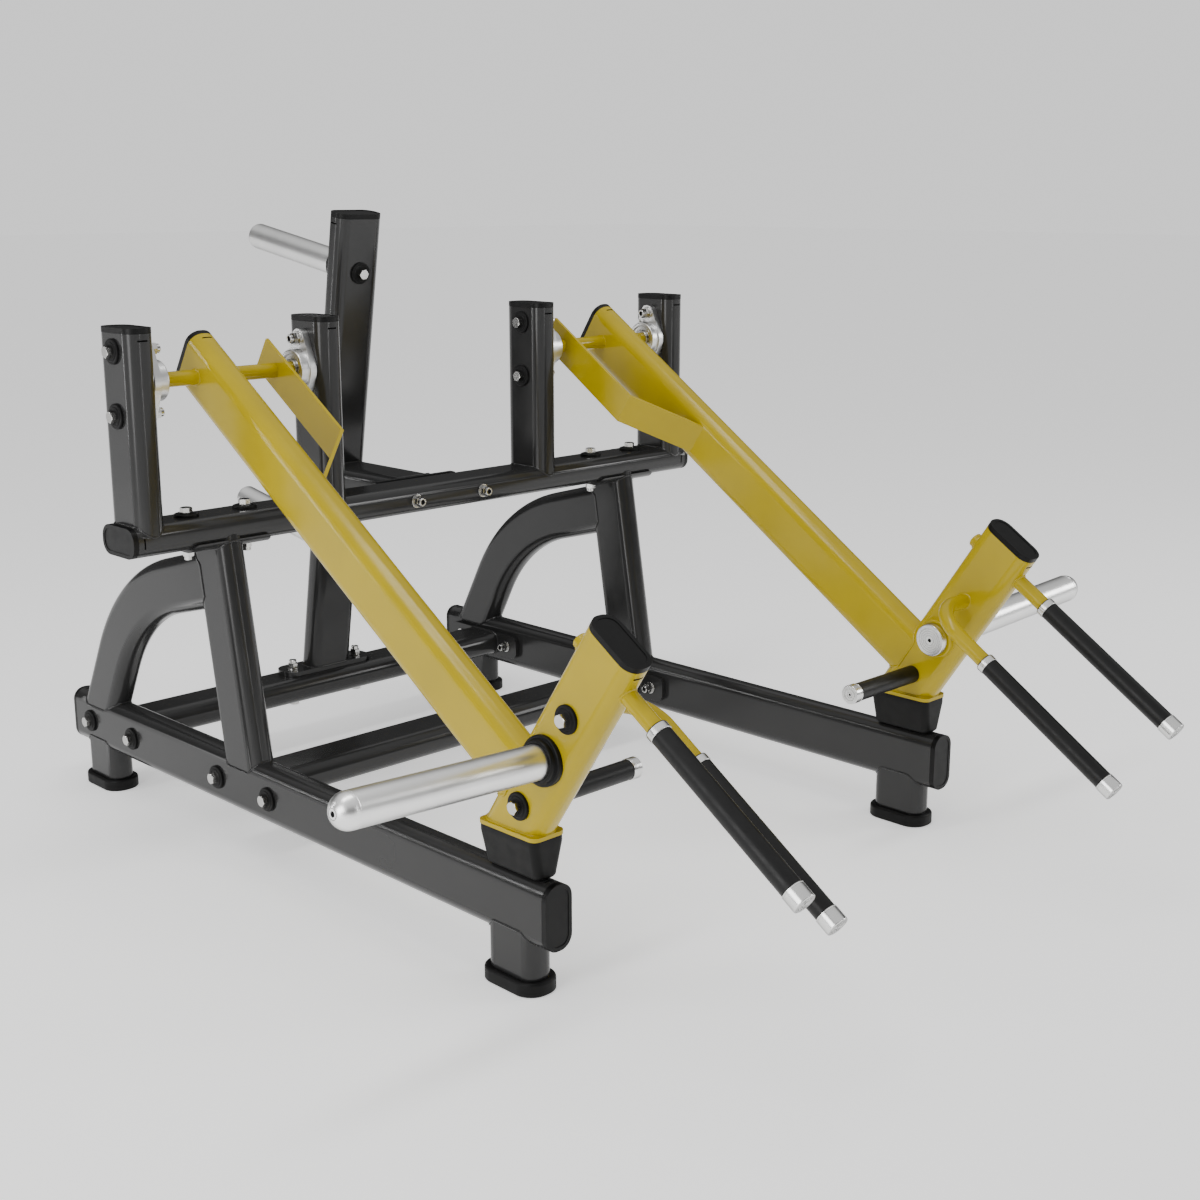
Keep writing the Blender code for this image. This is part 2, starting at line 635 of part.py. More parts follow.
def build_frame():
    both_sides(side_frame(), "side_frame", FRAME_PAINT)
    finish(upper_frame(), "upper_frame", FRAME_PAINT)
    finish(crossmember(FRONT_CROSS_Y), "front_crossmember", FRAME_PAINT)
    finish(rear_crossmember(), "rear_crossmember", FRAME_PAINT)
    finish(storage_post(), "storage_post", FRAME_PAINT)
    for level, z in STORAGE_ZS.items():
        finish(storage_horn(z), "storage_horn_" + level, CHROME)
        finish(storage_collar(z), "storage_horn_collar_" + level, PLASTIC)
    for end, y, outward in (("front", RAIL_FRONT_Y + CAP, -1), ("rear", RAIL_REAR_Y - CAP, 1)):
        both_sides(end_cap((RAIL_X, y, RAIL_Z), Y_AXIS * outward, Z_AXIS), "rail_cap_" + end, PLASTIC)
    both_sides(end_cap((BEAM_HALF - CAP, PIVOT_Y, BEAM_Z), X_AXIS, Y_AXIS), "beam_cap", PLASTIC)
    for place, x in zip(("inner", "outer"), UPRIGHT_XS):
        cap = end_cap((x, PIVOT_Y, UPRIGHT_TOP - CAP), Z_AXIS, Y_AXIS)
        both_sides(cap, "upright_cap_" + place, PLASTIC)
    up = Vector((0, -math.sin(POST_LEAN), math.cos(POST_LEAN)))
    finish(end_cap(post_point(POST_TOP) - up * CAP, up, X_AXIS), "post_cap", PLASTIC)
    for end, leg_y in zip(("front", "rear"), LEG_YS):
        both_sides(rubber_foot(leg_y), "foot_" + end, RUBBER)
    inner_face = UPRIGHT_XS[0] + TUBE_THIN / 2
    outer_face = UPRIGHT_XS[1] - TUBE_THIN / 2
    both_sides(bearing_housing(inner_face, 1), "bearing_housing_inner", CAST)
    both_sides(bearing_housing(outer_face, -1), "bearing_housing_outer", CAST)
    beam_top = BEAM_Z + TUBE_THIN / 2
    clamp = TUBE_THIN + SADDLE_PLATE + GAP
    for place, offset in (("inner", -SADDLE_BOLT_OFFSET), ("outer", SADDLE_BOLT_OFFSET)):
        bolt = through_bolt((RAIL_X + offset, PIVOT_Y, beam_top), -Z_AXIS, clamp, 0.019)
        both_sides(bolt, "saddle_bolt_" + place, ZINC)
    cross_bottom = RAIL_Z - TUBE_THIN / 2
    clamp = TUBE_THIN + POST_FLANGE[2] + GAP
    bolt = through_bolt((POST_BOLT[0], POST_BOLT[1], cross_bottom), Z_AXIS, clamp, 0.017)
    both_sides(bolt, "post_base_bolt", ZINC)


# ---------------------------------------------------------------- lever arms, in arm axes, +X side

def arm_point(x, u, w):
    """Arm axes: +Y points back along the arm, so a forward distance u is -y."""
    return Vector((x, -u, w))


def world_to_arm():
    """Turns a world placement into arm axes at rest."""
    rest = Matrix.Translation((0, PIVOT_Y, PIVOT_Z)) @ Matrix.Rotation(ARM_ANGLE, 4, "X")
    return rest.inverted()


def gusset():
    """Flat bar bent in plan: along the shaft's middle, then a diagonal to the arm tube's inner face."""
    end_x = ARM_X - TUBE_THIN / 2
    run = Vector((end_x - GUSSET_X, GUSSET_END_U - GUSSET_BEND_U)).normalized()
    outward = Vector((run.y, -run.x)) * GUSSET_PLATE
    bend = Vector((GUSSET_X, GUSSET_BEND_U))
    end = Vector((end_x, GUSSET_END_U))
    inside_bend = Vector((GUSSET_X + GUSSET_PLATE, GUSSET_BEND_U - GUSSET_PLATE * (1 - run.y) / run.x))
    tip = end + run * 0.002
    outline = [(GUSSET_X, GUSSET_REAR_U), (bend.x, bend.y), (tip.x, tip.y),
               (tip.x + outward.x, tip.y + outward.y), (inside_bend.x, inside_bend.y),
               (GUSSET_X + GUSSET_PLATE, GUSSET_REAR_U)]
    middle = (GUSSET_W[0] + GUSSET_W[1]) / 2
    flat = [(x, -u) for x, u in outline]
    return slab(flat, GUSSET_W[1] - GUSSET_W[0], Matrix.Translation((0, 0, middle)))


def horn_axis():
    """Placement at the handle tube's centre whose +Z runs outwards along the plate horn."""
    along = Vector((math.cos(HORN_TILT), 0, math.sin(HORN_TILT)))
    return axes_at(arm_point(ARM_X, HANDLE_U, HORN_W), along, Y_AXIS)


def rest_plate():
    thickness = REST_PLATE[2]
    centre = Vector((ARM_X, REST_PLATE_Y, REST_PLATE_Z + thickness / 2))
    outline = rounded(REST_PLATE[0], REST_PLATE[1], REST_PLATE_CORNER)
    return slab(outline, thickness, world_to_arm() @ Matrix.Translation(centre))


def below_plate():
    """Everything under the middle of the rest plate, to trim the handle tube's foot."""
    low = Vector((ARM_X - 0.1, REST_PLATE_Y - 0.2, REST_PLATE_Z - 0.3))
    high = Vector((ARM_X + 0.1, REST_PLATE_Y + 0.2, REST_PLATE_Z + REST_PLATE[2] / 2))
    block = box(low, high)
    block.matrix_world = world_to_arm()
    return as_solid(block)


def arm_weldment():
    """Arm tube, handle tube, gusset, rest plate, horn boss and straight handle bar."""
    rear = arm_point(ARM_X, ARM_REAR_U + CAP, ARM_W)
    joint = arm_point(ARM_X, HANDLE_U, ARM_W)
    arm_outer = bar(tube_outline(JOINED_THIN), rear, joint, Z_AXIS)
    arm_inner = bar(tube_hole(JOINED_THIN), rear + Y_AXIS * OPEN_END, joint, Z_AXIS)
    top = arm_point(ARM_X, HANDLE_U, HANDLE_TOP_W - CAP)
    foot = arm_point(ARM_X, HANDLE_U, -0.13)
    handle_outer = bar(tube_outline(), foot, top, Y_AXIS)
    handle_inner = bar(tube_hole(), foot, top + Z_AXIS * OPEN_END, Y_AXIS)
    outer = cut(unite(arm_outer, handle_outer), below_plate())
    frame = cut(outer, unite(arm_inner, handle_inner))
    axis = horn_axis()
    boss_end = axis @ Vector((0, 0, -HORN_BOSS[1]))
    boss = rod(HORN_BOSS[0], boss_end, axis @ Vector((0, 0, -HORN_BOSS_ROOT)), 20)
    straight_end = STRAIGHT_GRIP[1] - GRIP_CAP / 2
    straight = rod(BAR_R, arm_point(ARM_X, STRAIGHT_REAR_U, STRAIGHT_W),
                   arm_point(ARM_X, straight_end, STRAIGHT_W))
    frame = unite(frame, rest_plate(), gusset(), boss, straight)
    shaft_hole = rod(SHAFT_R + BORE_CLEAR, (GUSSET_X - 0.05, 0, 0), (ARM_X + 0.05, 0, 0))
    spindle_ends = [axis @ Vector((0, 0, reach)) for reach in (-0.06, 0.06)]
    spindle_hole = rod(HORN_SPINDLE_R + BORE_CLEAR, *spindle_ends)
    return cut(frame, shaft_hole, spindle_hole)


def pivot_shaft():
    """Shaft between the two bearings, with the bearings' inner rings on its ends."""
    inner_end = UPRIGHT_XS[0] + TUBE_THIN / 2 + 0.0008
    outer_end = UPRIGHT_XS[1] - TUBE_THIN / 2 - 0.0008
    length = outer_end - inner_end
    profile = [(0, length), (RING_R, length), (RING_R, length - RING_DEPTH), (SHAFT_R, length - RING_DEPTH),
               (SHAFT_R, RING_DEPTH), (RING_R, RING_DEPTH), (RING_R, 0), (0, 0)]
    return turned(profile, axes_at((inner_end, 0, 0), X_AXIS, Y_AXIS))


def plate_horn():
    """Sleeve with a domed end, its spindle through the handle tube, and the disc that retains it."""
    dome = [(SLEEVE_R * math.sin(a), HORN_END + SLEEVE_R * math.cos(a))
            for a in [math.pi / 2 * step / 6 for step in range(7)]]
    disc_r, disc_near, disc_far = HORN_DISC
    edge = 0.002
    profile = dome + [(SLEEVE_R, HORN_START), (HORN_SPINDLE_R, HORN_START), (HORN_SPINDLE_R, -disc_near),
                      (disc_r, -disc_near), (disc_r, -disc_far + edge), (disc_r - edge, -disc_far),
                      (0, -disc_far)]
    return turned(profile, horn_axis())


def bumper():
    """Rubber block under the rest plate, tapering down to the top of the rail."""
    top = REST_PLATE_Z - GAP
    bottom = RAIL_Z + TUBE_WIDE / 2 + 0.0005
    waist = (top + bottom) / 2
    block = slab(rounded(*BUMPER_TOP, BUMPER_CORNER), top - bottom, Matrix.Translation((0, 0, waist)))
    for vertex in block.data.vertices:
        if vertex.co.z < waist:
            vertex.co.x *= BUMPER_BASE[0] / BUMPER_TOP[0]
            vertex.co.y *= BUMPER_BASE[1] / BUMPER_TOP[1]
    block.matrix_world = world_to_arm() @ Matrix.Translation((ARM_X, REST_PLATE_Y, 0))
    return as_solid(block)


def grip(span, cap_length=GRIP_CAP, ring_length=GRIP_RING):
    """Profile of a closed-end grip: stop ring, soft sleeve and end cap, from span[0] to span[1]."""
    start, end = span
    bore = BAR_R + BORE_CLEAR
    floor = end - cap_length / 2 + 2 * GAP
    edge = 0.002
    return [(0, end), (GRIP_CAP_R - edge, end), (GRIP_CAP_R, end - edge), (GRIP_CAP_R, end - cap_length),
            (GRIP_R, end - cap_length), (GRIP_R, start + ring_length), (GRIP_CAP_R, start + ring_length),
            (GRIP_CAP_R, start), (bore, start), (bore, floor), (0, floor)]


def curved_handle():
    """Round bar square out of the handle tube's inner face, bent forward along the arm."""
    curve = bpy.data.curves.new("curved_handle", "CURVE")
    curve.dimensions = "3D"
    curve.bevel_depth = BAR_R
    curve.bevel_resolution = 4
    curve.use_fill_caps = True
    face_x = ARM_X - TUBE_THIN / 2 - GAP
    centre = (CURVED_X + CURVED_BEND, HANDLE_U + CURVED_BEND)
    bend = arc_points(centre, CURVED_BEND, -math.pi / 2, -math.pi / 2, 8)
    end_u = CURVED_GRIP[1] - GRIP_CAP / 2
    route = [(face_x, HANDLE_U)] + bend + [(CURVED_X, end_u)]
    spline = curve.splines.new("POLY")
    spline.points.add(len(route) - 1)
    for point, (x, u) in zip(spline.points, route):
        point.co = (*arm_point(x, u, CURVED_W), 1)
    obj = bpy.data.objects.new("curved_handle", curve)
    machine.objects.link(obj)
    return as_solid(obj)


def peg():
    face_x = ARM_X - TUBE_THIN / 2 - GAP
    return rod(BAR_R, (face_x, -HANDLE_U, PEG_W), (PEG_TIP_X + PEG_CAP / 2, -HANDLE_U, PEG_W))


def grips():
    """The three closed-end grips, by name."""
    straight = axes_at(arm_point(ARM_X, 0, STRAIGHT_W), -Y_AXIS, X_AXIS)
    curved = axes_at(arm_point(CURVED_X, 0, CURVED_W), -Y_AXIS, X_AXIS)
    peg_root = ARM_X - TUBE_THIN / 2 - 2 * GAP
    sideways = axes_at(arm_point(peg_root, HANDLE_U, PEG_W), -X_AXIS, Y_AXIS)
    return {
        "straight_grip": turned(grip(STRAIGHT_GRIP), straight),
        "curved_grip": turned(grip(CURVED_GRIP), curved),
        "peg_grip": turned(grip((0, peg_root - PEG_TIP_X), PEG_CAP, 0.002), sideways),
    }


def build_arms(parents):
    both_sides(arm_weldment(), "lever_arm", ARM_PAINT, parents)
    both_sides(pivot_shaft(), "pivot_shaft", ARM_PAINT, parents)
    rear = arm_point(ARM_X, ARM_REAR_U + CAP, ARM_W)
    both_sides(end_cap(rear, Y_AXIS, Z_AXIS, JOINED_THIN), "arm_rear_cap", PLASTIC, parents)
    top = arm_point(ARM_X, HANDLE_U, HANDLE_TOP_W - CAP)
    both_sides(end_cap(top, Z_AXIS, Y_AXIS), "handle_tube_cap", PLASTIC, parents)
    both_sides(bumper(), "bumper", RUBBER, parents)
    both_sides(plate_horn(), "plate_horn", CHROME, parents)
    collar = ring(HORN_SPINDLE_R + BORE_CLEAR, COLLAR_R, *HORN_COLLAR, horn_axis())
    both_sides(collar, "plate_horn_collar", PLASTIC, parents)
    both_sides(curved_handle(), "curved_handle", ARM_PAINT, parents)
    both_sides(peg(), "peg", ARM_PAINT, parents)
    for name, made in grips().items():
        both_sides(made, name, RUBBER, parents)


def pivot_empty(name):
    """Empty on the pivot axis that carries one arm at its rest angle."""
    empty = bpy.data.objects.new(name, None)
    empty.location = (0, PIVOT_Y, PIVOT_Z)
    empty.rotation_euler = (ARM_ANGLE, 0, 0)
    machine.objects.link(empty)
    return empty


build_frame()
build_arms((pivot_empty("right_arm_axis"), pivot_empty("left_arm_axis")))
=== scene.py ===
"""Looks of the two-arm lever squat machine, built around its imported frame.

Metres, in the frame's axes: +Y towards the storage post, +X to the right of a user who faces the
post, +Z up.
Pieces that swing are modelled in arm axes (origin on the pivot, +Y back along the arm, +Z square
to it) for the right arm, placed at the arm's rest angle, and mirrored for the left arm.
"""

import json
from math import acos, cos, pi, radians, sin, tan

import bmesh
import bpy
from mathutils import Matrix, Vector
from mathutils.bvhtree import BVHTree

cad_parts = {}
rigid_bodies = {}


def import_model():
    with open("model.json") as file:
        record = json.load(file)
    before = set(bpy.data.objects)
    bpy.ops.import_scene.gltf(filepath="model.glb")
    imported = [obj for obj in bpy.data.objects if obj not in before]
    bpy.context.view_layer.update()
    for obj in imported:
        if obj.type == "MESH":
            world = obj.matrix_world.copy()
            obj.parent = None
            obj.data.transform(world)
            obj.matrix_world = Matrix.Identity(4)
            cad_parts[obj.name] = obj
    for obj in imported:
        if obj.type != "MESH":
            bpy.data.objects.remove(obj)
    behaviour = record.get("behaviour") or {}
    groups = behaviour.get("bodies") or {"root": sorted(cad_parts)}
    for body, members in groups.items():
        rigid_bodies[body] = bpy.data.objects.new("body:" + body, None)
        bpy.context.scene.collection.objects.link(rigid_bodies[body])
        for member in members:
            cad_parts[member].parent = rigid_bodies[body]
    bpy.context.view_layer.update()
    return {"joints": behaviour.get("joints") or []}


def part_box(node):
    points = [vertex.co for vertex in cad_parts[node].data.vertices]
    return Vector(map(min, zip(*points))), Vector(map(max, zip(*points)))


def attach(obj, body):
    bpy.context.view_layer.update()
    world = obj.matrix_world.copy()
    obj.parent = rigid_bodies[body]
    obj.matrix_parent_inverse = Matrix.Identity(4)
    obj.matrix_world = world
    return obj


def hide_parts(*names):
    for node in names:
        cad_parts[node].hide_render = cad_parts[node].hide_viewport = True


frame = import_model()

X_AXIS = Vector((1, 0, 0))
Y_AXIS = Vector((0, 1, 0))
Z_AXIS = Vector((0, 0, 1))


def middle(node):
    low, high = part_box(node)
    return (low + high) / 2


# ------------ dimensions

# Tube stock and the clearances that the frame's pieces keep.
TUBE_WIDE = 0.100
TUBE_THIN = 0.050
TUBE_CORNER = 0.022
FLUSH = 0.0002
CAP = 0.009
GAP = 0.0003
JOINED_THIN = TUBE_THIN - 2 * FLUSH
JOINED_WIDE = TUBE_WIDE - 2 * FLUSH

# Fixed frame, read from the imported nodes.
RAIL_X = middle("foot_front_right").x
LEG_YS = (middle("foot_front_right").y, middle("foot_rear_right").y)
FOOT_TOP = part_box("foot_front_right")[1].z
RAIL_Z = middle("rail_cap_front_right").z
RAIL_FRONT_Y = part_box("rail_cap_front_right")[0].y
RAIL_REAR_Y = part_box("rail_cap_rear_right")[1].y
BEAM_Z = middle("beam_cap_right").z
BEAM_Y = middle("beam_cap_right").y
BEAM_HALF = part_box("beam_cap_right")[1].x
BEAM_TOP = BEAM_Z + TUBE_THIN / 2
UPRIGHT_XS = (middle("upright_cap_inner_right").x, middle("upright_cap_outer_right").x)
UPRIGHT_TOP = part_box("upright_cap_inner_right")[1].z
FRONT_CROSS_Y = middle("front_crossmember").y
REAR_CROSS_Y = middle("rear_crossmember").y
CROSS_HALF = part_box("front_crossmember")[1].x
SADDLE_BOLT_XS = (middle("saddle_bolt_inner_right").x, middle("saddle_bolt_outer_right").x)
POST_BOLT = middle("post_base_bolt_right")

# Side frame's leaning strut and curved brace.
STRUT_FOOT_Y = 0.2436
STRUT_TOP_Y = BEAM_Y + 0.0018
BRACE_FOOT = (0.7561, 0.1258)
BRACE_BEND_Z = 0.2662
BRACE_RADIUS = 0.350
BRACE_TURN = radians(46.5)
BRACE_FOOT_SLOPE = radians(118.5)
BRACE_TOP_Y = 0.3100
FOOT_CORNER = 0.031
SADDLE_LENGTH = 0.150
SADDLE_PLATE = 0.005
SADDLE_TOP = 0.549
END_PLATE = (0.220, 0.050, 0.010)
RAIL_BOLT_OFFSETS = (0.0772, -0.0772)

# Storage post.
POST_TOP = 1.0722
POST_LEAN = radians(9.79)
POST_AXIS_Y = 0.7121
POST_FLANGE = (0.210, 0.064, 0.0097)
POST_FLANGE_Y = 0.6896
BRACE_FLANGE = (0.200, 0.053, 0.008)
BRACE_FLANGE_Z = 0.5615
BRACE_BOLT_X = 0.079
STORAGE_ZS = {"upper": 0.9685, "lower": 0.4194}
STORAGE_LENGTH = 0.3195
SLEEVE_R = 0.025
COLLAR_R = 0.037

# Bearings and shaft.
SHAFT_R = 0.0125
SHAFT_SHORT = 0.0028
RING_R = 0.017
RING_DEPTH = 0.0305
RING_SCREW_TURN = 2.4
HOUSING_BOLT_Z = 0.051
HOUSING_LOBE_R = 0.0165
HOUSING_MIDDLE_R = 0.0362
HOUSING_FLANGE = 0.012
HOUSING_BOSS_R = 0.033
HOUSING_DEPTH = 0.0283
NIPPLE_TURN = radians(200)

# Arms: U is the distance from the pivot forward along the arm, W the distance upwards, square to it.
PIVOT = Vector(frame["joints"][0]["pos_m"])
ARM_ANGLE = radians(33.3)
ARM_X = abs(PIVOT.x)
ARM_W = 0.003
ARM_REAR_U = -0.054
HANDLE_U = 0.9455
HANDLE_TOP_W = 0.302
REST_PLATE = (0.062, 0.122, 0.006)
REST_PLATE_Y = middle("bumper_right").y
REST_PLATE_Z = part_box("bumper_right")[1].z + GAP
GUSSET_X = 0.3325
GUSSET_PLATE = 0.006
GUSSET_W = (-0.0286, 0.0328)
GUSSET_REAR_U = -0.046
GUSSET_BEND_U = 0.202
GUSSET_END_U = 0.313
BUMPER_TOP = (0.060, 0.120)
BUMPER_BASE = (0.041, 0.115)
HORN_W = 0.0786
HORN_TILT = radians(4.4)
HORN_SPINDLE_R = 0.014
HORN_START = 0.0375
HORN_END = 0.361
HORN_COLLAR = (0.0255, 0.0345, 0.0430)
HORN_BOSS = (0.033, 0.036)
HORN_DISC = (0.028, 0.0385, 0.0504)
BAR_R = 0.0125
GRIP_R = 0.0155
GRIP_CAP_R = 0.0165
GRIP_RING = 0.012
GRIP_CAP = 0.024
STRAIGHT_W = 0.2496
STRAIGHT_REAR_U = 0.8865
STRAIGHT_GRIP = (1.054, 1.350)
CURVED_W = 0.1636
CURVED_X = 0.3489
CURVED_BEND = 0.060
CURVED_GRIP = (1.069, 1.363)
PEG_W = -0.0153
PEG_TIP_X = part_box("peg_grip_right")[0].x
PEG_CAP = 0.017

# Fasteners.
BOLT_R = 0.0075
BOLT_BORE = 0.0046
HEX_R = 0.0104
HEX_CHAMFER = radians(30)
HEAD = 0.0095
NUT = 0.0095
RUBBER_WASHER_R = 0.0205
RUBBER_WASHER = 0.0060
STEEL_WASHER_R = 0.0122
STEEL_WASHER = 0.0022
LONG_TIP = 0.008
FLANGE_TIP = 0.007
SHORT_TIP = 0.0065

# Points closer than this are one.
MERGE_DISTANCE = 0.000004

# Facets of a round corner, and of a full turn.
CORNER_STEPS = 10
FINEST_TURN = 96
FINE_TURN = 80
WASHER_TURN = 56
HEX_TURN = 48
SMALL_TURN = 36
TINY_TURN = 24

# Rims and fillets.
PLATE_EDGE = 0.0012
THIN_PLATE_EDGE = 0.0010
ROOT_FILLET = 0.0014
HANDLE_FILLET = 0.0030


# ------------ finishes

NOISE_SPAN = (0.3, 0.7)


def add_node(nodes, kind, **values):
    """A new shader node with its inputs set."""
    node = nodes.new("ShaderNode" + kind)
    set_inputs(node, values)
    return node


def set_inputs(node, values):
    """Sets inputs by name, an underscore standing for a space."""
    for socket, value in values.items():
        node.inputs[socket.replace("_", " ")].default_value = value


class Finish:
    """A Principled material whose colour, roughness and bump are varied by procedural nodes."""

    def __init__(self, name, colour, roughness, metallic=0.0, **sockets):
        self.material = bpy.data.materials.new(name)
        self.material.use_nodes = True
        self.nodes = self.material.node_tree.nodes
        self.links = self.material.node_tree.links
        self.shader = self.nodes["Principled BSDF"]
        self.place = self.nodes.new("ShaderNodeTexCoord").outputs["Object"]
        self.height = None
        self.colour = colour
        set_inputs(self.shader, {"Base_Color": (*colour, 1), "Roughness": roughness, "Metallic": metallic})
        set_inputs(self.shader, sockets)

    def drive(self, socket, output):
        self.links.new(output, self.shader.inputs[socket])

    def texture(self, kind, output, **values):
        node = add_node(self.nodes, kind, **values)
        self.links.new(self.place, node.inputs["Vector"])
        return node.outputs[output]

    def noise(self, scale, detail):
        return self.texture("TexNoise", "Fac", Scale=scale, Detail=detail)

    def cells(self, scale):
        return self.texture("TexVoronoi", "Distance", Scale=scale)

    def vary_colour(self, source, darker, lighter):
        """Base colour runs from darker to lighter shares of the finish's own colour."""
        ramp = add_node(self.nodes, "ValToRGB")
        for element, position, share in zip(ramp.color_ramp.elements, NOISE_SPAN, (darker, lighter)):
            element.position = position
            element.color = (*[c * share for c in self.colour], 1)
        self.links.new(source, ramp.inputs["Fac"])
        self.drive("Base Color", ramp.outputs["Color"])

    def vary_roughness(self, source, low, high):
        """Roughness runs from low to high."""
        first, last = NOISE_SPAN
        node = add_node(self.nodes, "MapRange", From_Min=first, From_Max=last, To_Min=low, To_Max=high)
        self.links.new(source, node.inputs["Value"])
        self.drive("Roughness", node.outputs["Result"])

    def bump(self, source, depth):
        """Adds a bump of a real depth on top of the ones before it."""
        node = add_node(self.nodes, "Bump", Distance=depth)
        self.links.new(source, node.inputs["Height"])
        if self.height:
            self.links.new(self.height, node.inputs["Normal"])
        self.height = node.outputs["Normal"]
        self.drive("Normal", self.height)


def powder_coat(name, colour, roughness, ior):
    """Sprayed and baked paint: a smooth skin with faint orange peel and a slightly uneven gloss."""
    finish = Finish(name, colour, roughness, IOR=ior, Specular_IOR_Level=0.42)
    finish.vary_colour(finish.noise(9, 4), 0.94, 1.06)
    finish.vary_roughness(finish.noise(30, 2), roughness - 0.02, roughness + 0.03)
    finish.bump(finish.noise(110, 0), 0.000004)
    return finish.material


def moulded(name, colour, roughness, grain, depth):
    """Moulded plastic or rubber with a fine eroded grain."""
    finish = Finish(name, colour, roughness, IOR=1.45, Specular_IOR_Level=0.22)
    finish.vary_colour(finish.noise(40, 2), 0.88, 1.12)
    finish.vary_roughness(finish.noise(60, 2), roughness - 0.05, roughness + 0.05)
    finish.bump(finish.cells(grain), depth)
    return finish.material


def foam():
    """Closed-cell grip foam: soft matt skin with pores."""
    finish = Finish("grip_foam", (0.0022, 0.0022, 0.0022), 0.4, IOR=1.45, Specular_IOR_Level=0.36)
    finish.vary_colour(finish.noise(150, 2), 0.8, 1.2)
    finish.vary_roughness(finish.noise(80, 2), 0.36, 0.46)
    finish.bump(finish.cells(900), 0.000012)
    finish.bump(finish.noise(90, 1), 0.00002)
    return finish.material


def metal(name, colour, roughness, swing, grain, depth):
    """Bare metal with a fine grain, a little darker where it is seen edge on."""
    finish = Finish(name, colour, roughness, 1.0, Specular_Tint=(0.35, 0.35, 0.35, 1))
    finish.vary_colour(finish.noise(25, 2), 0.96, 1.02)
    finish.vary_roughness(finish.noise(grain, 1), roughness - swing, roughness + swing)
    finish.bump(finish.noise(grain * 1.7, 0), depth)
    return finish.material


FRAME_PAINT = powder_coat("anthracite_powder_coat", (0.021, 0.021, 0.021), 0.17, 1.45)
ARM_PAINT = powder_coat("mustard_powder_coat", (0.410, 0.302, 0.001), 0.19, 1.45)
PLASTIC = moulded("black_moulded_plastic", (0.0035, 0.0035, 0.0035), 0.40, 1500, 0.000006)
RUBBER = moulded("black_rubber", (0.0030, 0.0030, 0.0030), 0.50, 1100, 0.000010)
FOAM = foam()
CHROME = metal("satin_chrome", (0.95, 0.95, 0.94), 0.33, 0.012, 70, 0.000001)
POLISHED = metal("satin_aluminium", (0.78, 0.78, 0.77), 0.25, 0.015, 90, 0.000001)
CASTING = metal("silver_casting", (0.74, 0.74, 0.735), 0.34, 0.015, 90, 0.000002)
ZINC = metal("zinc_plated_steel", (0.62, 0.615, 0.60), 0.20, 0.02, 120, 0.000001)
BEARING_STEEL = metal("ground_bearing_steel", (0.62, 0.615, 0.60), 0.26, 0.05, 380, 0.000003)
# Near-black: painted shade inside drilled holes, bores and clip slots, and also the own colour of the black
# set screws.
HOLE_SHADE_AND_SCREW_BLACK = moulded("hole_shade_and_black_screw", (0.001, 0.001, 0.001), 0.8, 500, 0.00001)


# ------------ outlines

def arc(centre, radius, start, turn, steps):
    """Points on an arc from angle start through turn, both ends included."""
    angles = [start + turn * step / steps for step in range(steps + 1)]
    return [(centre[0] + radius * cos(a), centre[1] + radius * sin(a)) for a in angles]


def rounded(width, height, radius, steps=CORNER_STEPS):
    """Outline of a rectangle with round corners, centred on the origin."""
    points = []
    for corner, (side_x, side_y) in enumerate(((1, 1), (-1, 1), (-1, -1), (1, -1))):
        centre = (side_x * (width / 2 - radius), side_y * (height / 2 - radius))
        points += arc(centre, radius, corner * pi / 2, pi / 2, steps)
    return points


def circle(radius, steps=40):
    return arc((0, 0), radius, 0, 2 * pi, steps)[:-1]


def tube_outline(inset=0.0, thin=TUBE_THIN, wide=TUBE_WIDE):
    return rounded(wide - 2 * inset, thin - 2 * inset, TUBE_CORNER - inset)


def lobed(lobe_distance, lobe_radius, middle_radius):
    """Outline of a two-bolt flange: a round middle and two round lobes joined by tangent lines."""
    lean = acos((middle_radius - lobe_radius) / lobe_distance)
    points = []
    for side in (1, -1):
        start = (0 if side == 1 else pi) + pi / 2
        points += arc((0, side * lobe_distance), lobe_radius, start - lean, 2 * lean, 16)
        points += arc((0, 0), middle_radius, start + lean, pi - 2 * lean, 12)
    return points


def round_edge(radius, height, edge, steps=5):
    """Profile points of a disc's top edge, rounded, from its flat top down to its side."""
    turns = [pi / 2 * (1 - step / steps) for step in range(steps + 1)]
    return [(radius - edge + edge * cos(a), height - edge + edge * sin(a)) for a in turns]


# ------------ solids

def axes_at(origin, along, across):
    """Placement whose +Z runs along a piece and whose +X runs across it."""
    z = Vector(along).normalized()
    x = (Vector(across) - Vector(across).dot(z) * z).normalized()
    placement = Matrix((x, z.cross(x), z)).transposed().to_4x4()
    placement.translation = Vector(origin)
    return placement


def new_object(mesh):
    obj = bpy.data.objects.new("solid", mesh)
    bpy.context.scene.collection.objects.link(obj)
    return obj


def discard(obj):
    bpy.data.objects.remove(obj, do_unlink=True)


def finished(work):
    """A new object that holds a bmesh."""
    mesh = bpy.data.meshes.new("solid")
    work.to_mesh(mesh)
    work.free()
    return new_object(mesh)


def as_solid(obj):
    """Replaces a curve, or an object with modifiers, by a plain welded mesh in world axes."""
    bpy.context.view_layer.update()
    depsgraph = bpy.context.evaluated_depsgraph_get()
    mesh = bpy.data.meshes.new_from_object(obj.evaluated_get(depsgraph))
    work = bmesh.new()
    work.from_mesh(mesh)
    bmesh.ops.transform(work, matrix=obj.matrix_world, verts=work.verts)
    bmesh.ops.remove_doubles(work, verts=work.verts, dist=MERGE_DISTANCE)
    bmesh.ops.recalc_face_normals(work, faces=work.faces)
    work.to_mesh(mesh)
    work.free()
    discard(obj)
    return new_object(mesh)


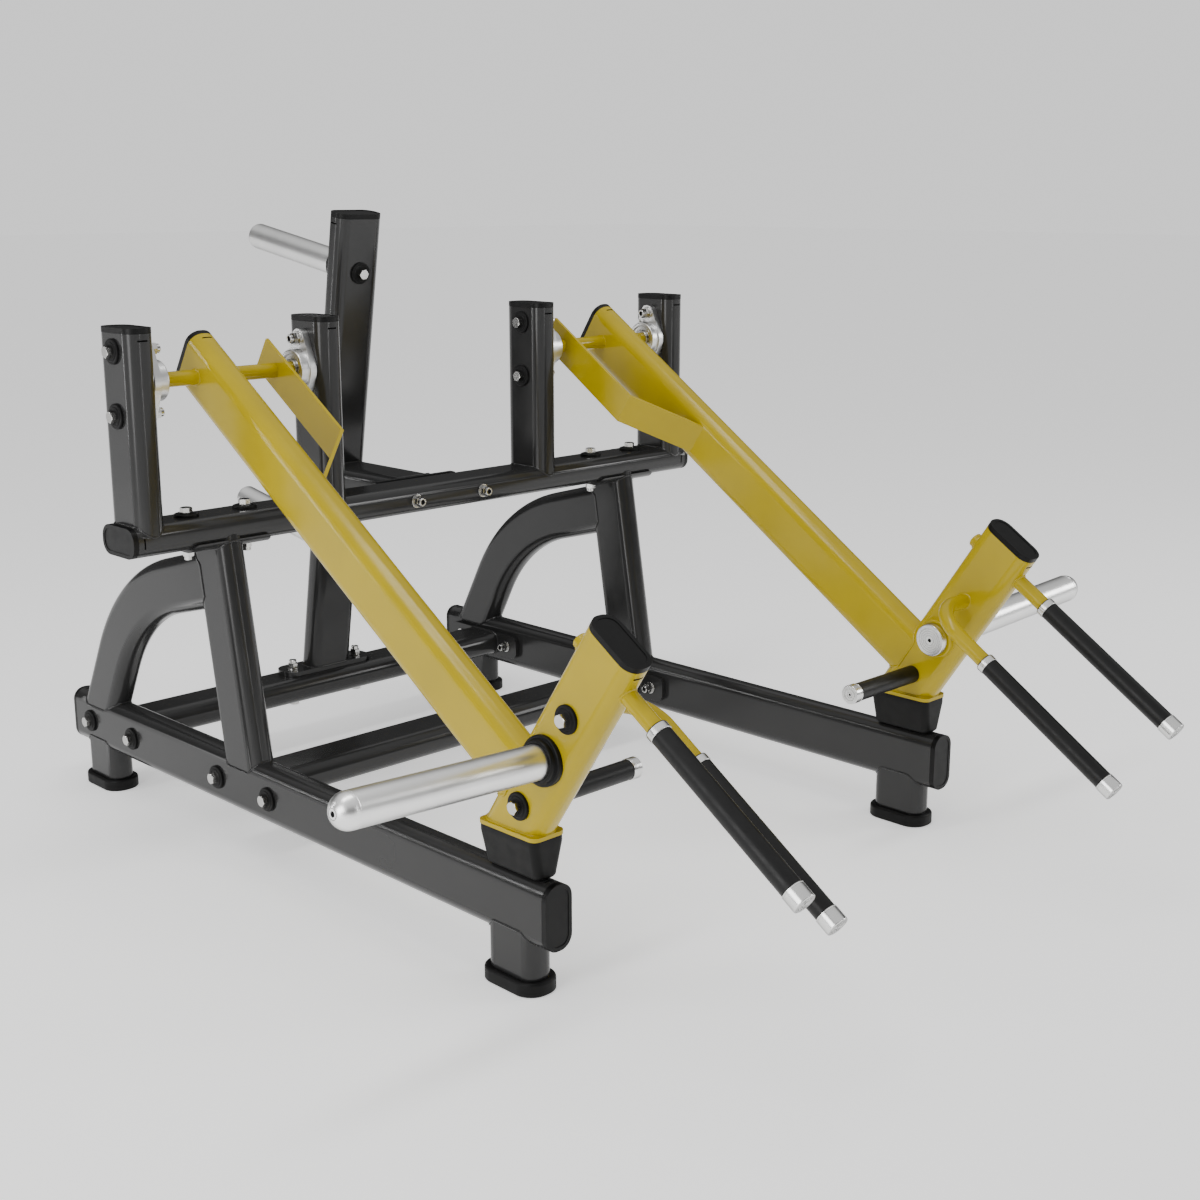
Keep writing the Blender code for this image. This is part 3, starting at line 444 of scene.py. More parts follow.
def poly_curve(points, closed, flat=False):
    curve = bpy.data.curves.new("line", "CURVE")
    curve.dimensions = "2D" if flat else "3D"
    spline = curve.splines.new("POLY")
    spline.points.add(len(points) - 1)
    for point, place in zip(spline.points, points):
        point.co = (place[0], place[1], place[2] if len(place) > 2 else 0, 1)
    spline.use_cyclic_u = closed
    return curve


def slab(outline, thickness, placement, edge=0.0):
    """A flat outline given a thickness, half to each side of the placement, with its rims eased."""
    curve = poly_curve(outline, True, flat=True)
    curve.fill_mode = "BOTH"
    curve.extrude = thickness / 2
    obj = new_object(curve)
    obj.matrix_world = placement
    solid = as_solid(obj)
    return eased(solid, edge) if edge else solid


def eased(obj, width, angle=50, segments=3):
    """Rounds every edge sharper than the angle."""
    bevel = obj.modifiers.new("eased", "BEVEL")
    bevel.width = width
    bevel.segments = segments
    bevel.limit_method = "ANGLE"
    bevel.angle_limit = radians(angle)
    return as_solid(obj)


def bar(outline, start, end, across, edge=0.0):
    """A straight bar of the given section from start to end."""
    start = Vector(start)
    end = Vector(end)
    return slab(outline, (end - start).length, axes_at((start + end) / 2, end - start, across), edge)


def box(low, high):
    work = bmesh.new()
    size = [b - a for a, b in zip(low, high)]
    centre = [(a + b) / 2 for a, b in zip(low, high)]
    bmesh.ops.create_cube(work, size=1, matrix=Matrix.Translation(centre) @ Matrix.Diagonal((*size, 1)))
    return finished(work)


def turned(profile, placement=Matrix(), closed=False, sides=FINE_TURN):
    """A solid turned about the placement's +Z from (radius, height) points."""
    mesh = bpy.data.meshes.new("profile")
    count = len(profile)
    links = [(i, (i + 1) % count) for i in range(count if closed else count - 1)]
    mesh.from_pydata([(radius, 0, height) for radius, height in profile], links, [])
    obj = new_object(mesh)
    screw = obj.modifiers.new("screw", "SCREW")
    screw.steps = sides
    screw.render_steps = sides
    screw.use_merge_vertices = True
    screw.merge_threshold = MERGE_DISTANCE
    obj.matrix_world = placement
    return as_solid(obj)


def plug(radius, low, high, placement, sides=FINE_TURN):
    """A plain cylinder between two heights of the placement."""
    return turned([(0, high), (radius, high), (radius, low), (0, low)], placement, sides=sides)


def below(height, *points):
    """Profile points given as radius and depth below a face, both in millimetres."""
    return [(radius / 1000, height - depth / 1000) for radius, depth in points]


def groove(height, radius):
    """A fine ring groove in a face, its radius in millimetres."""
    return below(height, (radius - 0.6, 0), (radius - 0.2, 0.8), (radius + 0.5, 0.8), (radius + 0.9, 0))


def rod(radius, start, end, edge=0.001):
    """A round bar from start to end with eased rims."""
    start = Vector(start)
    end = Vector(end)
    length = (end - start).length
    top = [(0, length)] + round_edge(radius, length, edge, 3)
    bottom = [(r, -z + length) for r, z in reversed(top)]
    return turned(top + bottom, axes_at(start, end - start, Vector((0.3, 0.5, 0.8))))


def wire(points, radius, closed=False, resolution=8, radii=None):
    """A round bar along a line of points."""
    curve = poly_curve(points, closed)
    curve.bevel_depth = radius
    curve.bevel_resolution = resolution
    curve.use_fill_caps = not closed
    if radii:
        for point, share in zip(curve.splines[0].points, radii):
            point.radius = share
    return as_solid(new_object(curve))


def loft(levels):
    """A solid through closed outlines of equal length at rising heights, as (height, outline)."""
    work = bmesh.new()
    rings = [[work.verts.new((x, y, z)) for x, y in outline] for z, outline in levels]
    count = len(rings[0])
    for lower, upper in zip(rings, rings[1:]):
        for i in range(count):
            work.faces.new((lower[i], lower[(i + 1) % count], upper[(i + 1) % count], upper[i]))
    work.faces.new(list(reversed(rings[0])))
    work.faces.new(rings[-1])
    return finished(work)


def combine(base, others, operation):
    for other in others:
        modifier = base.modifiers.new(operation, "BOOLEAN")
        modifier.operation = operation
        modifier.object = other
        modifier.material_mode = "TRANSFER"
    solid = as_solid(base)
    for other in others:
        discard(other)
    return solid


def unite(base, *others):
    return combine(base, others, "UNION")


def cut(base, *others):
    return combine(base, others, "DIFFERENCE")


def gather(objects):
    """Several solids as one object of separate shells."""
    work = bmesh.new()
    for obj in objects:
        work.from_mesh(obj.data)
        discard(obj)
    return finished(work)


def copied(obj, matrix):
    """A copy of a solid under another placement, turned outwards again if the placement mirrors it."""
    work = bmesh.new()
    work.from_mesh(obj.data)
    bmesh.ops.transform(work, matrix=matrix, verts=work.verts)
    if matrix.determinant() < 0:
        bmesh.ops.reverse_faces(work, faces=work.faces)
    mesh = obj.data.copy()
    work.to_mesh(mesh)
    work.free()
    return new_object(mesh)


def moved(obj, matrix):
    solid = copied(obj, matrix)
    discard(obj)
    return solid


# ------------ pieces

MIRROR = Matrix.Diagonal((-1, 1, 1, 1))
ARM_PLACE = Matrix.Translation((0, PIVOT.y, PIVOT.z)) @ Matrix.Rotation(ARM_ANGLE, 4, "X")


def piece(obj, name, look, body="frame", nodes=(), sharp=38):
    """Names a solid, shades it, gives it its finish, and lets it ride on its body."""
    obj.name = name
    obj.data.name = name
    if not obj.data.materials:
        obj.data.materials.append(look)
    elif obj.data.materials[0] is None:
        obj.data.materials[0] = look
    obj.data.shade_smooth()
    obj.data.set_sharp_from_angle(angle=radians(sharp))
    weighted = obj.modifiers.new("weighted", "WEIGHTED_NORMAL")
    weighted.keep_sharp = True
    weighted.weight = 80
    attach(obj, body)
    if nodes:
        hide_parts(*nodes)
    return obj


def both_sides(obj, name, look, node=None, sharp=38, place=Matrix(), arms=False):
    """A piece of the +X side and its mirror image, on the frame or on the two arms."""
    for side, placement in (("right", place), ("left", MIRROR @ place)):
        body = side + "_arm" if arms else "frame"
        nodes = [f"{node}_{side}"] if node else ()
        piece(copied(obj, placement), f"{name}_{side}", look, body, nodes, sharp)
    discard(obj)


def arm_piece(obj, name, look, node=None, sharp=38):
    """A piece in arm axes of the right arm, placed at rest on both arms."""
    both_sides(obj, name, look, node, sharp, ARM_PLACE, arms=True)


# ------------ welds

WELD_R = 0.0021
WELD_PITCH = 0.0045


def resampled(points, spacing):
    """A closed line's points at an even spacing."""
    loop = points + [points[0]]
    lengths = [(b - a).length for a, b in zip(loop, loop[1:])]
    total = sum(lengths)
    count = max(12, int(total / spacing))
    result = []
    index = 0
    passed = 0.0
    for step in range(count):
        target = total * step / count
        while passed + lengths[index] < target:
            passed += lengths[index]
            index += 1
        share = (target - passed) / max(lengths[index], 1e-9)
        result.append(loop[index].lerp(loop[index + 1], share))
    return result


def bead(points, radius=WELD_R):
    """A painted weld along a closed line, with the small scallops of its passes."""
    line = resampled(points, WELD_PITCH / 3)
    radii = [1 + 0.14 * cos(2 * pi * i / 3) + 0.05 * sin(i * 0.37) for i in range(len(line))]
    return wire(line, radius, closed=True, resolution=2, radii=radii)


def weld(outline, origin, along, across, host, reach):
    """Bead where a bar of this outline, coming along its axis, meets the host within reach of origin."""
    placement = axes_at(origin, along, across)
    work = bmesh.new()
    work.from_mesh(host.data)
    tree = BVHTree.FromBMesh(work)
    work.free()
    along = placement.to_3x3() @ Z_AXIS
    dense = resampled([Vector((x, y, 0)) for x, y in outline], 0.003)
    line = []
    for point in dense:
        hit = tree.ray_cast(placement @ point - along * reach, along, 2 * reach)[0]
        if hit:
            line.append(hit)
    return bead(line)


# ------------ fasteners

def hex_block(height, both_ends):
    """Hexagon with its corners chamfered at the top, or at both ends."""
    block = slab(circle(HEX_R, 6), height, Matrix.Translation((0, 0, height / 2)))
    flat_r = HEX_R * 0.84
    lens_r = HEX_R * 1.02
    drop = (lens_r - flat_r) * tan(HEX_CHAMFER)
    foot = [(lens_r, drop), (flat_r, 0), (0, 0)] if both_ends else [(lens_r, -0.001), (0, -0.001)]
    lens = turned([(0, height), (flat_r, height), (lens_r, height - drop)] + foot, sides=HEX_TURN)
    return eased(combine(block, [lens], "INTERSECT"), 0.00035, 25, 2)


def rubber_washer():
    """Thick rubber washer with round rims and a shallow dish round the bolt head."""
    profile = below(RUBBER_WASHER, (BOLT_R * 1000, 0.5), (12.5, 0.5), (13.2, 0), (15, 0), (16, 1.2))
    profile += round_edge(RUBBER_WASHER_R, RUBBER_WASHER - 0.0012, 0.0020)
    profile += [(RUBBER_WASHER_R, GAP), (BOLT_R, GAP)]
    return turned(profile, closed=True, sides=WASHER_TURN)


def steel_washer():
    profile = [(BOLT_R, STEEL_WASHER)] + round_edge(STEEL_WASHER_R, STEEL_WASHER, 0.0004, 2)
    profile += [(STEEL_WASHER_R, GAP), (BOLT_R, GAP)]
    return turned(profile, closed=True, sides=SMALL_TURN)


def bolt_tip(length):
    """Chamfered bolt end with a drilled centre."""
    profile = [(BOLT_BORE, 0.001), (BOLT_BORE, length - 0.0005), (BOLT_BORE + 0.0005, length),
               (BOLT_R - 0.0008, length), (BOLT_R, length - 0.0009), (BOLT_R, 0.001)]
    return turned(profile, closed=True, sides=SMALL_TURN)


# A near-black plug down the drilled centre: painted shade at the bottom of the bore.
def bolt_tip_bore_shade(length):
    return plug(BOLT_BORE, 0.001, length - 0.0025, Matrix(), SMALL_TURN)


FASTENERS = {}


def fastener(name, make, look, spot, outward, lift, body, turn=0.0):
    """Copies a fastener part to a spot, standing along outward."""
    if name not in FASTENERS:
        FASTENERS[name] = make()
    place = axes_at(Vector(spot) + Vector(outward).normalized() * lift, outward, Vector((0.31, 0.52, 0.79)))
    obj = copied(FASTENERS[name], place @ Matrix.Rotation(turn, 4, "Z"))
    count = sum(1 for other in bpy.data.objects if other.name.startswith(name + "_at_"))
    return piece(obj, f"{name}_at_{count + 1:02d}", look, body, sharp=24)


def head_end(spot, outward, body="frame", seat="rubber", turn=0.0):
    """Hex head on a rubber or steel washer."""
    if seat == "rubber":
        fastener("rubber_washer", rubber_washer, RUBBER, spot, outward, 0, body)
        lift = RUBBER_WASHER - 0.0005
    else:
        fastener("steel_washer", steel_washer, ZINC, spot, outward, 0, body)
        lift = STEEL_WASHER
    fastener("hex_head", lambda: hex_block(HEAD, False), ZINC, spot, outward, lift, body, turn)


def nut_end(spot, outward, tip, turn):
    """Washer, nut and the drilled end of the bolt."""
    fastener("steel_washer", steel_washer, ZINC, spot, outward, 0, "frame")
    fastener("hex_nut", lambda: hex_block(NUT, True), ZINC, spot, outward, STEEL_WASHER, "frame", turn)
    lift = STEEL_WASHER + NUT - 0.001
    key = f"bolt_tip_{round(tip * 1000)}mm"
    fastener(key, lambda: bolt_tip(tip + 0.001), ZINC, spot, outward, lift, "frame")
    # The bolt end's bore gets the near-black plug: painted shade.
    fastener(key + "_bore", lambda: bolt_tip_bore_shade(tip + 0.001), HOLE_SHADE_AND_SCREW_BLACK, spot, outward, lift, "frame")


def bolt(head, nut, tip, seat="rubber", turn=0.0, nut_turn=0.0):
    """A bolt from the face under its head to the face under its nut."""
    outward = (Vector(head) - Vector(nut)).normalized()
    head_end(head, outward, seat=seat, turn=turn)
    nut_end(nut, -outward, tip, nut_turn)


# ------------ tube ends

def slot_cutter(seat, inward, side):
    """Cutter for the narrow clip slot in a tube's round side, a little way in from its cap."""
    centre = Vector(seat) + Vector(inward) * 0.011
    place = axes_at(centre + Vector(side) * (TUBE_WIDE / 2), side, inward)
    cutter = slab(rounded(0.0028, 0.018, 0.0013, 4), 0.005, place)
    # The slot's cut walls take the near-black material: painted shade inside the slot.
    cutter.data.materials.append(HOLE_SHADE_AND_SCREW_BLACK)
    return cutter


def end_cap(seat, outward, across, thin=TUBE_THIN):
    """Plastic cap: a lid over the tube's mouth, with a soft rim round a sunken panel."""
    seat = Vector(seat)
    outward = Vector(outward)
    lid = bar(tube_outline(0, thin), seat + outward * GAP, seat + outward * CAP, across, 0.0022)
    panel = bar(tube_outline(0.0065), seat + outward * (CAP - 0.0009), seat + outward * (CAP + 0.01), across)
    return eased(cut(lid, panel), 0.0004, 60, 2)


# ------------ fixed frame

def tube(start, end, across, thin=TUBE_THIN, wide=TUBE_WIDE):
    return bar(tube_outline(0, thin, wide), start, end, across)


def brace_route():
    """Centre line of the curved brace, and its directions at the foot and at the top."""
    direction = Vector((0, cos(BRACE_FOOT_SLOPE), sin(BRACE_FOOT_SLOPE)))
    foot = Vector((RAIL_X, *BRACE_FOOT))
    start = foot + direction * (BRACE_BEND_Z - BRACE_FOOT[1]) / direction.z
    centre = start + Vector((0, -direction.z, direction.y)) * BRACE_RADIUS
    route = [foot]
    steps = 28
    for step in range(steps + 1):
        angle = BRACE_FOOT_SLOPE - pi / 2 + BRACE_TURN * step / steps
        route.append(centre + Vector((0, cos(angle), sin(angle))) * BRACE_RADIUS)
    top_angle = BRACE_FOOT_SLOPE + BRACE_TURN
    top = Vector((0, cos(top_angle), sin(top_angle)))
    route.append(route[-1] + top * (BRACE_TOP_Y - route[-1].y) / top.y)
    return route, direction, top


def swept_brace():
    route = brace_route()[0]
    outline = [(thin, wide) for wide, thin in tube_outline(0, JOINED_THIN)]
    section = new_object(poly_curve(outline, True, flat=True))
    curve = poly_curve(route, False)
    curve.bevel_mode = "OBJECT"
    curve.bevel_object = section
    curve.use_fill_caps = True
    solid = as_solid(new_object(curve))
    discard(section)
    return solid


def saddle_shape(length, margin):
    outline = rounded(TUBE_WIDE + 2 * margin, TUBE_THIN + 2 * margin, TUBE_CORNER + margin, 14)
    reach = X_AXIS * length / 2
    centre = Vector((RAIL_X, BEAM_Y, BEAM_Z))
    return bar(outline, centre - reach, centre + reach, Y_AXIS)


def saddle():
    """Bent plate that hugs the beam's lower half, with rounded upper corners."""
    plate = saddle_shape(SADDLE_LENGTH, GAP + SADDLE_PLATE)
    front = rounded(SADDLE_LENGTH, 0.060, 0.011)
    height = SADDLE_TOP - 0.030
    place = axes_at((RAIL_X, BEAM_Y, height), Y_AXIS, X_AXIS)
    plate = combine(plate, [slab(front, 0.3, place)], "INTERSECT")
    return cut(plate, saddle_shape(0.3, GAP))


def side_frames():
    """Rail, legs, leaning strut, curved brace and saddle plate as one painted shell, and its welds."""
    outline = tube_outline(0, JOINED_THIN)
    rail = tube((RAIL_X, RAIL_FRONT_Y + CAP, RAIL_Z), (RAIL_X, RAIL_REAR_Y - CAP, RAIL_Z), Z_AXIS)
    welds = []
    parts = []
    for leg_y in LEG_YS:
        foot = (RAIL_X, leg_y, FOOT_TOP / 2)
        parts.append(bar(outline, foot, (RAIL_X, leg_y, RAIL_Z), Y_AXIS))
        welds.append(weld(outline, foot, Z_AXIS, Y_AXIS, rail, 0.2))
    strut_foot = Vector((RAIL_X, STRUT_FOOT_Y, RAIL_Z))
    strut_top = Vector((RAIL_X, STRUT_TOP_Y, BEAM_Z))
    strut = bar(outline, strut_foot, strut_top, Y_AXIS)
    up = strut_top - strut_foot
    plate = saddle()
    route, foot_way, top_way = brace_route()
    welds += [weld(outline, strut_top, -up, Y_AXIS, rail, 0.6),
              weld(tube_outline(0.0005, JOINED_THIN), strut_foot, up, Y_AXIS, plate, 0.6),
              weld(outline, route[1], -foot_way, Y_AXIS, rail, 0.3),
              weld(outline, route[-2], top_way, Y_AXIS, strut, 0.3)]
    shell = cut(unite(rail, *parts, strut, swept_brace()), saddle_shape(0.3, GAP))
    shell = unite(shell, plate)
    slots = [slot_cutter((RAIL_X, RAIL_FRONT_Y + CAP, RAIL_Z), Y_AXIS, Z_AXIS),
             slot_cutter((RAIL_X, RAIL_REAR_Y - CAP, RAIL_Z), -Y_AXIS, Z_AXIS)]
    both_sides(cut(shell, *slots), "side_frame_shell", FRAME_PAINT, "side_frame")
    both_sides(gather(welds), "side_frame_welds", FRAME_PAINT)


def upper_frame():
    """Cross beam with the four uprights that carry the bearings."""
    tube_half = BEAM_HALF - CAP
    beam = tube((-tube_half, BEAM_Y, BEAM_Z), (tube_half, BEAM_Y, BEAM_Z), Y_AXIS)
    uprights = []
    welds = []
    slots = [slot_cutter((side * tube_half, BEAM_Y, BEAM_Z), X_AXIS * -side, -Y_AXIS) for side in (-1, 1)]
    for x in [side * distance for distance in UPRIGHT_XS for side in (-1, 1)]:
        top = Vector((x, BEAM_Y, UPRIGHT_TOP - CAP))
        uprights.append(tube((x, BEAM_Y, BEAM_Z), top, Y_AXIS, wide=JOINED_WIDE))
        welds.append(weld(tube_outline(0.0006, wide=JOINED_WIDE), top, -Z_AXIS, Y_AXIS, beam, 0.6))
        slots.append(slot_cutter(top, -Z_AXIS, -Y_AXIS))
    piece(cut(unite(beam, *uprights), *slots), "upper_frame_shell", FRAME_PAINT, nodes=["upper_frame"])
    piece(gather(welds), "upper_frame_welds", FRAME_PAINT)


def crossmember(y, name):
    """A cross tube with a plate welded on each end."""
    width, height, thickness = END_PLATE
    shell = tube((-CROSS_HALF + 0.004, y, RAIL_Z), (CROSS_HALF - 0.004, y, RAIL_Z), Y_AXIS)
    welds = []
    for side in (-1, 1):
        inner = (side * (CROSS_HALF - thickness), y, RAIL_Z)
        outer = (side * CROSS_HALF, y, RAIL_Z)
        plate = bar(rounded(width, height, 0.015), inner, outer, Y_AXIS, PLATE_EDGE)
        welds.append(weld(tube_outline(-0.0002), (0, y, RAIL_Z), X_AXIS * side, Y_AXIS, plate, 0.6))
        shell = unite(shell, plate)
    piece(shell, name + "_shell", FRAME_PAINT, nodes=[name])
    piece(gather(welds), name + "_welds", FRAME_PAINT)


def post_point(z):
    return Vector((0, POST_AXIS_Y - z * tan(POST_LEAN), z))


POST_UP = Vector((0, -sin(POST_LEAN), cos(POST_LEAN)))
POST_BACK = Vector((0, cos(POST_LEAN), sin(POST_LEAN)))


def storage_post():
    """Leaning post on its base flange, with the forward brace and its flange, and the cap."""
    flange_low = RAIL_Z + TUBE_THIN / 2 + GAP
    flange_high = flange_low + POST_FLANGE[2]
    seat = post_point(POST_TOP) - POST_UP * CAP
    post = tube(post_point(flange_high - 0.02), seat, X_AXIS)
    post = cut(post, box((-0.2, 0.4, 0), (0.2, 0.9, flange_low + 0.002)))
    beam_rear = BEAM_Y + TUBE_WIDE / 2 + GAP
    flange_rear = beam_rear + BRACE_FLANGE[2]
    brace = tube((0, flange_rear - 0.004, BEAM_Z), post_point(BEAM_Z), X_AXIS, wide=JOINED_WIDE)
    base = bar(rounded(POST_FLANGE[0], POST_FLANGE[1], 0.027), (0, POST_FLANGE_Y, flange_low),
               (0, POST_FLANGE_Y, flange_high), X_AXIS, PLATE_EDGE)
    plate = bar(rounded(BRACE_FLANGE[0], BRACE_FLANGE[1], 0.012), (0, beam_rear, BRACE_FLANGE_Z),
                (0, flange_rear, BRACE_FLANGE_Z), X_AXIS, THIN_PLATE_EDGE)
    between = (0, flange_rear + 0.05, BEAM_Z)
    welds = [weld(tube_outline(-0.0002), post_point(0.3), -POST_UP, X_AXIS, base, 0.3),
             weld(tube_outline(0.0006, wide=JOINED_WIDE), between, Y_AXIS, X_AXIS, post, 0.3),
             weld(tube_outline(-0.0002, wide=JOINED_WIDE), between, -Y_AXIS, X_AXIS, plate, 0.3)]
    shell = unite(post, brace, base, plate)
    shell = cut(shell, slot_cutter(seat, -POST_UP, X_AXIS), slot_cutter(seat, -POST_UP, -X_AXIS))
    piece(shell, "storage_post_shell", FRAME_PAINT, nodes=["storage_post"])
    piece(gather(welds), "storage_post_welds", FRAME_PAINT)
    piece(end_cap(seat, POST_UP, X_AXIS), "post_cap_moulded", PLASTIC, nodes=["post_cap"])


def storage_horn(level, z):
    place = axes_at(post_point(z), POST_BACK, X_AXIS)
    root = TUBE_THIN / 2 + GAP
    end = STORAGE_LENGTH
    profile = below(end, (0, 3), (2.2, 3), (2.2, 0.3), (2.6, 0)) + round_edge(SLEEVE_R, end, 0.0060, 8)
    profile += [(SLEEVE_R, root), (0, root)]
    piece(turned(profile, place), f"storage_horn_{level}_sleeve", CHROME, nodes=["storage_horn_" + level])
    rim = root + 0.010
    collar = round_edge(COLLAR_R, rim, 0.0025) + [(COLLAR_R, root), (SLEEVE_R, root), (SLEEVE_R, rim)]
    name = "storage_horn_collar_" + level
    piece(turned(collar, place, closed=True), name + "_moulded", PLASTIC, nodes=[name])
    front = post_point(z) - POST_BACK * (TUBE_THIN / 2) - POST_UP * 0.005
    head_end(front, -POST_BACK)


def feet():
    for end, leg_y in zip(("front", "rear"), LEG_YS):
        low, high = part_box(f"foot_{end}_right")
        size = high - low
        levels = [(low.z, rounded(size.y - 0.003, size.x - 0.003, FOOT_CORNER - 0.0015)),
                  (low.z + 0.0015, rounded(size.y, size.x, FOOT_CORNER))]
        for change, z in reversed(round_edge(0, high.z, 0.005, 6)):
            levels.append((z, rounded(size.y + 2 * change, size.x + 2 * change, FOOT_CORNER + change)))
        place = Matrix.Translation((RAIL_X, leg_y, 0)) @ Matrix.Rotation(pi / 2, 4, "Z")
        pocket = tube((RAIL_X, leg_y, 0.008), (RAIL_X, leg_y, high.z + 0.01), Y_AXIS, TUBE_THIN + 0.0002)
        boot = cut(moved(loft(levels), place), pocket)
        both_sides(boot, f"foot_{end}_boot", RUBBER, f"foot_{end}")


def frame_caps():
    inner_x, outer_x = UPRIGHT_XS
    seat_z = UPRIGHT_TOP - CAP
    for node, seat, outward, across in (
        ("rail_cap_front", (RAIL_X, RAIL_FRONT_Y + CAP, RAIL_Z), -Y_AXIS, Z_AXIS),
        ("rail_cap_rear", (RAIL_X, RAIL_REAR_Y - CAP, RAIL_Z), Y_AXIS, Z_AXIS),
        ("beam_cap", (BEAM_HALF - CAP, BEAM_Y, BEAM_Z), X_AXIS, Y_AXIS),
        ("upright_cap_inner", (inner_x, BEAM_Y, seat_z), Z_AXIS, Y_AXIS),
        ("upright_cap_outer", (outer_x, BEAM_Y, seat_z), Z_AXIS, Y_AXIS),
    ):
        both_sides(end_cap(seat, outward, across), node + "_moulded", PLASTIC, node)


def on_side(place, turn, radius, height):
    """Placement that stands out from a round side, at this turn, radius and height."""
    there = place @ Matrix.Rotation(turn, 4, "Z")
    return axes_at(there @ Vector((0, radius, height)), there.to_3x3() @ Y_AXIS, X_AXIS)


def bearing_housing(place_name, face_x, facing):
    """Cast two-bolt flange housing, its shield, and its grease nipple."""
    place = axes_at((face_x, PIVOT.y, PIVOT.z), X_AXIS * facing, Y_AXIS)
    outline = lobed(HOUSING_BOLT_Z, HOUSING_LOBE_R, HOUSING_MIDDLE_R)
    lift = Matrix.Translation((0, 0, HOUSING_FLANGE / 2 + GAP))
    flange = slab(outline, HOUSING_FLANGE, place @ lift, PLATE_EDGE)
    top = HOUSING_DEPTH
    root = (HOUSING_BOSS_R + ROOT_FILLET, HOUSING_FLANGE + ROOT_FILLET)
    fillet = arc(root, ROOT_FILLET, pi, pi / 2, 6)
    profile = [(0, top)] + round_edge(HOUSING_BOSS_R, top, 0.0022) + fillet + [(0, HOUSING_FLANGE - 0.002)]
    boss = turned(profile, place)
    bore = below(top, (0, -10), (27.3, -10), (27.3, 0), (25.8, 1.5), (25.8, 6), (18.15, 6), (18.15, 38.3),
                 (0, 38.3))
    casting = cut(unite(flange, boss), turned(bore, place))
    name = "bearing_housing_" + place_name
    both_sides(casting, name + "_casting", CASTING, name, sharp=32)
    ring = below(top - 0.0018, (17.6, 0.6), (19.5, 0.6), (20, 0), (24.8, 0), (25.6, 0.8), (25.6, 3),
                 (17.6, 3))
    both_sides(turned(ring, place, closed=True), name + "_shield", BEARING_STEEL)
    seat = on_side(place, NIPPLE_TURN, HOUSING_BOSS_R - 0.001, top * 0.66)
    profile = below(0.0085, (0, 0), (1.2, 0), (2, 1.5), (1.4, 3), (2.6, 4.5), (4, 5), (4, 8.5), (0, 8.5))
    both_sides(turned(profile, seat, sides=TINY_TURN), name + "_grease_nipple", ZINC)


def frame_fasteners():
    """The fixed frame's bolts, except the storage horns'; six of them have node solids, now replaced."""
    flange_top = RAIL_Z + TUBE_THIN / 2 + GAP + POST_FLANGE[2]
    flange_rear = BEAM_Y + TUBE_WIDE / 2 + GAP + BRACE_FLANGE[2]
    saddle_low = BEAM_TOP - TUBE_THIN - SADDLE_PLATE - GAP
    for side in (-1, 1):
        for y in (FRONT_CROSS_Y, REAR_CROSS_Y):
            for turn, offset in zip((0.35, 0.85), RAIL_BOLT_OFFSETS):
                bolt((side * (RAIL_X + TUBE_THIN / 2), y + offset, RAIL_Z),
                     (side * (CROSS_HALF - END_PLATE[2]), y + offset, RAIL_Z), LONG_TIP, turn=turn)
        for x, outward in zip(UPRIGHT_XS, (1, -1)):
            bolt_face = side * (x - outward * TUBE_THIN / 2)
            housing_face = side * (x + outward * (TUBE_THIN / 2 + HOUSING_FLANGE))
            for dz in (HOUSING_BOLT_Z, -HOUSING_BOLT_Z):
                z = PIVOT.z + dz
                bolt((bolt_face, PIVOT.y, z), (housing_face, PIVOT.y, z), SHORT_TIP, turn=0.2 + dz * 9)
        for x in SADDLE_BOLT_XS:
            bolt((side * x, BEAM_Y, BEAM_TOP), (side * x, BEAM_Y, saddle_low), SHORT_TIP, turn=x * 3)
        x = side * POST_BOLT.x
        bolt((x, POST_BOLT.y, RAIL_Z - TUBE_THIN / 2), (x, POST_BOLT.y, flange_top), FLANGE_TIP)
        x = side * BRACE_BOLT_X
        beam_front = BEAM_Y - TUBE_WIDE / 2
        bolt((x, flange_rear, BEAM_Z), (x, beam_front, BEAM_Z), FLANGE_TIP, "steel", turn=0.4, nut_turn=0.3)
    bolts = ("saddle_bolt_inner", "saddle_bolt_outer", "post_base_bolt")
    nodes = [f"{name}_{side}" for name in bolts for side in ("left", "right")]
    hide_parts(*nodes)


def build_frame():
    side_frames()
    upper_frame()
    crossmember(FRONT_CROSS_Y, "front_crossmember")
    crossmember(REAR_CROSS_Y, "rear_crossmember")
    storage_post()
    for level, z in STORAGE_ZS.items():
        storage_horn(level, z)
    feet()
    frame_caps()
    bearing_housing("inner", UPRIGHT_XS[0] + TUBE_THIN / 2, 1)
    bearing_housing("outer", UPRIGHT_XS[1] - TUBE_THIN / 2, -1)
    frame_fasteners()


# ------------ lever arms, in arm axes, +X side

def arm_point(u, w, x=ARM_X):
    return Vector((x, -u, w))


def horn_axis():
    along = Vector((cos(HORN_TILT), 0, sin(HORN_TILT)))
    return axes_at(arm_point(HANDLE_U, HORN_W), along, Y_AXIS)


def gusset():
    """Flat bar bent in plan: straight ahead from the shaft, then slanting to the arm tube's inner face."""
    end_x = ARM_X - TUBE_THIN / 2
    run = Vector((end_x - GUSSET_X, GUSSET_END_U - GUSSET_BEND_U)).normalized()
    outward = Vector((run.y, -run.x)) * GUSSET_PLATE
    inside_bend = (GUSSET_X + GUSSET_PLATE, GUSSET_BEND_U - GUSSET_PLATE * (1 - run.y) / run.x)
    tip = Vector((end_x, GUSSET_END_U)) + run * 0.002
    outline = [(GUSSET_X, GUSSET_REAR_U), (GUSSET_X, GUSSET_BEND_U), tuple(tip), tuple(tip + outward),
               inside_bend, (GUSSET_X + GUSSET_PLATE, GUSSET_REAR_U)]
    flat = [(x, -u) for x, u in outline]
    centre = Matrix.Translation((0, 0, (GUSSET_W[0] + GUSSET_W[1]) / 2))
    return slab(flat, GUSSET_W[1] - GUSSET_W[0], centre, 0.0007)


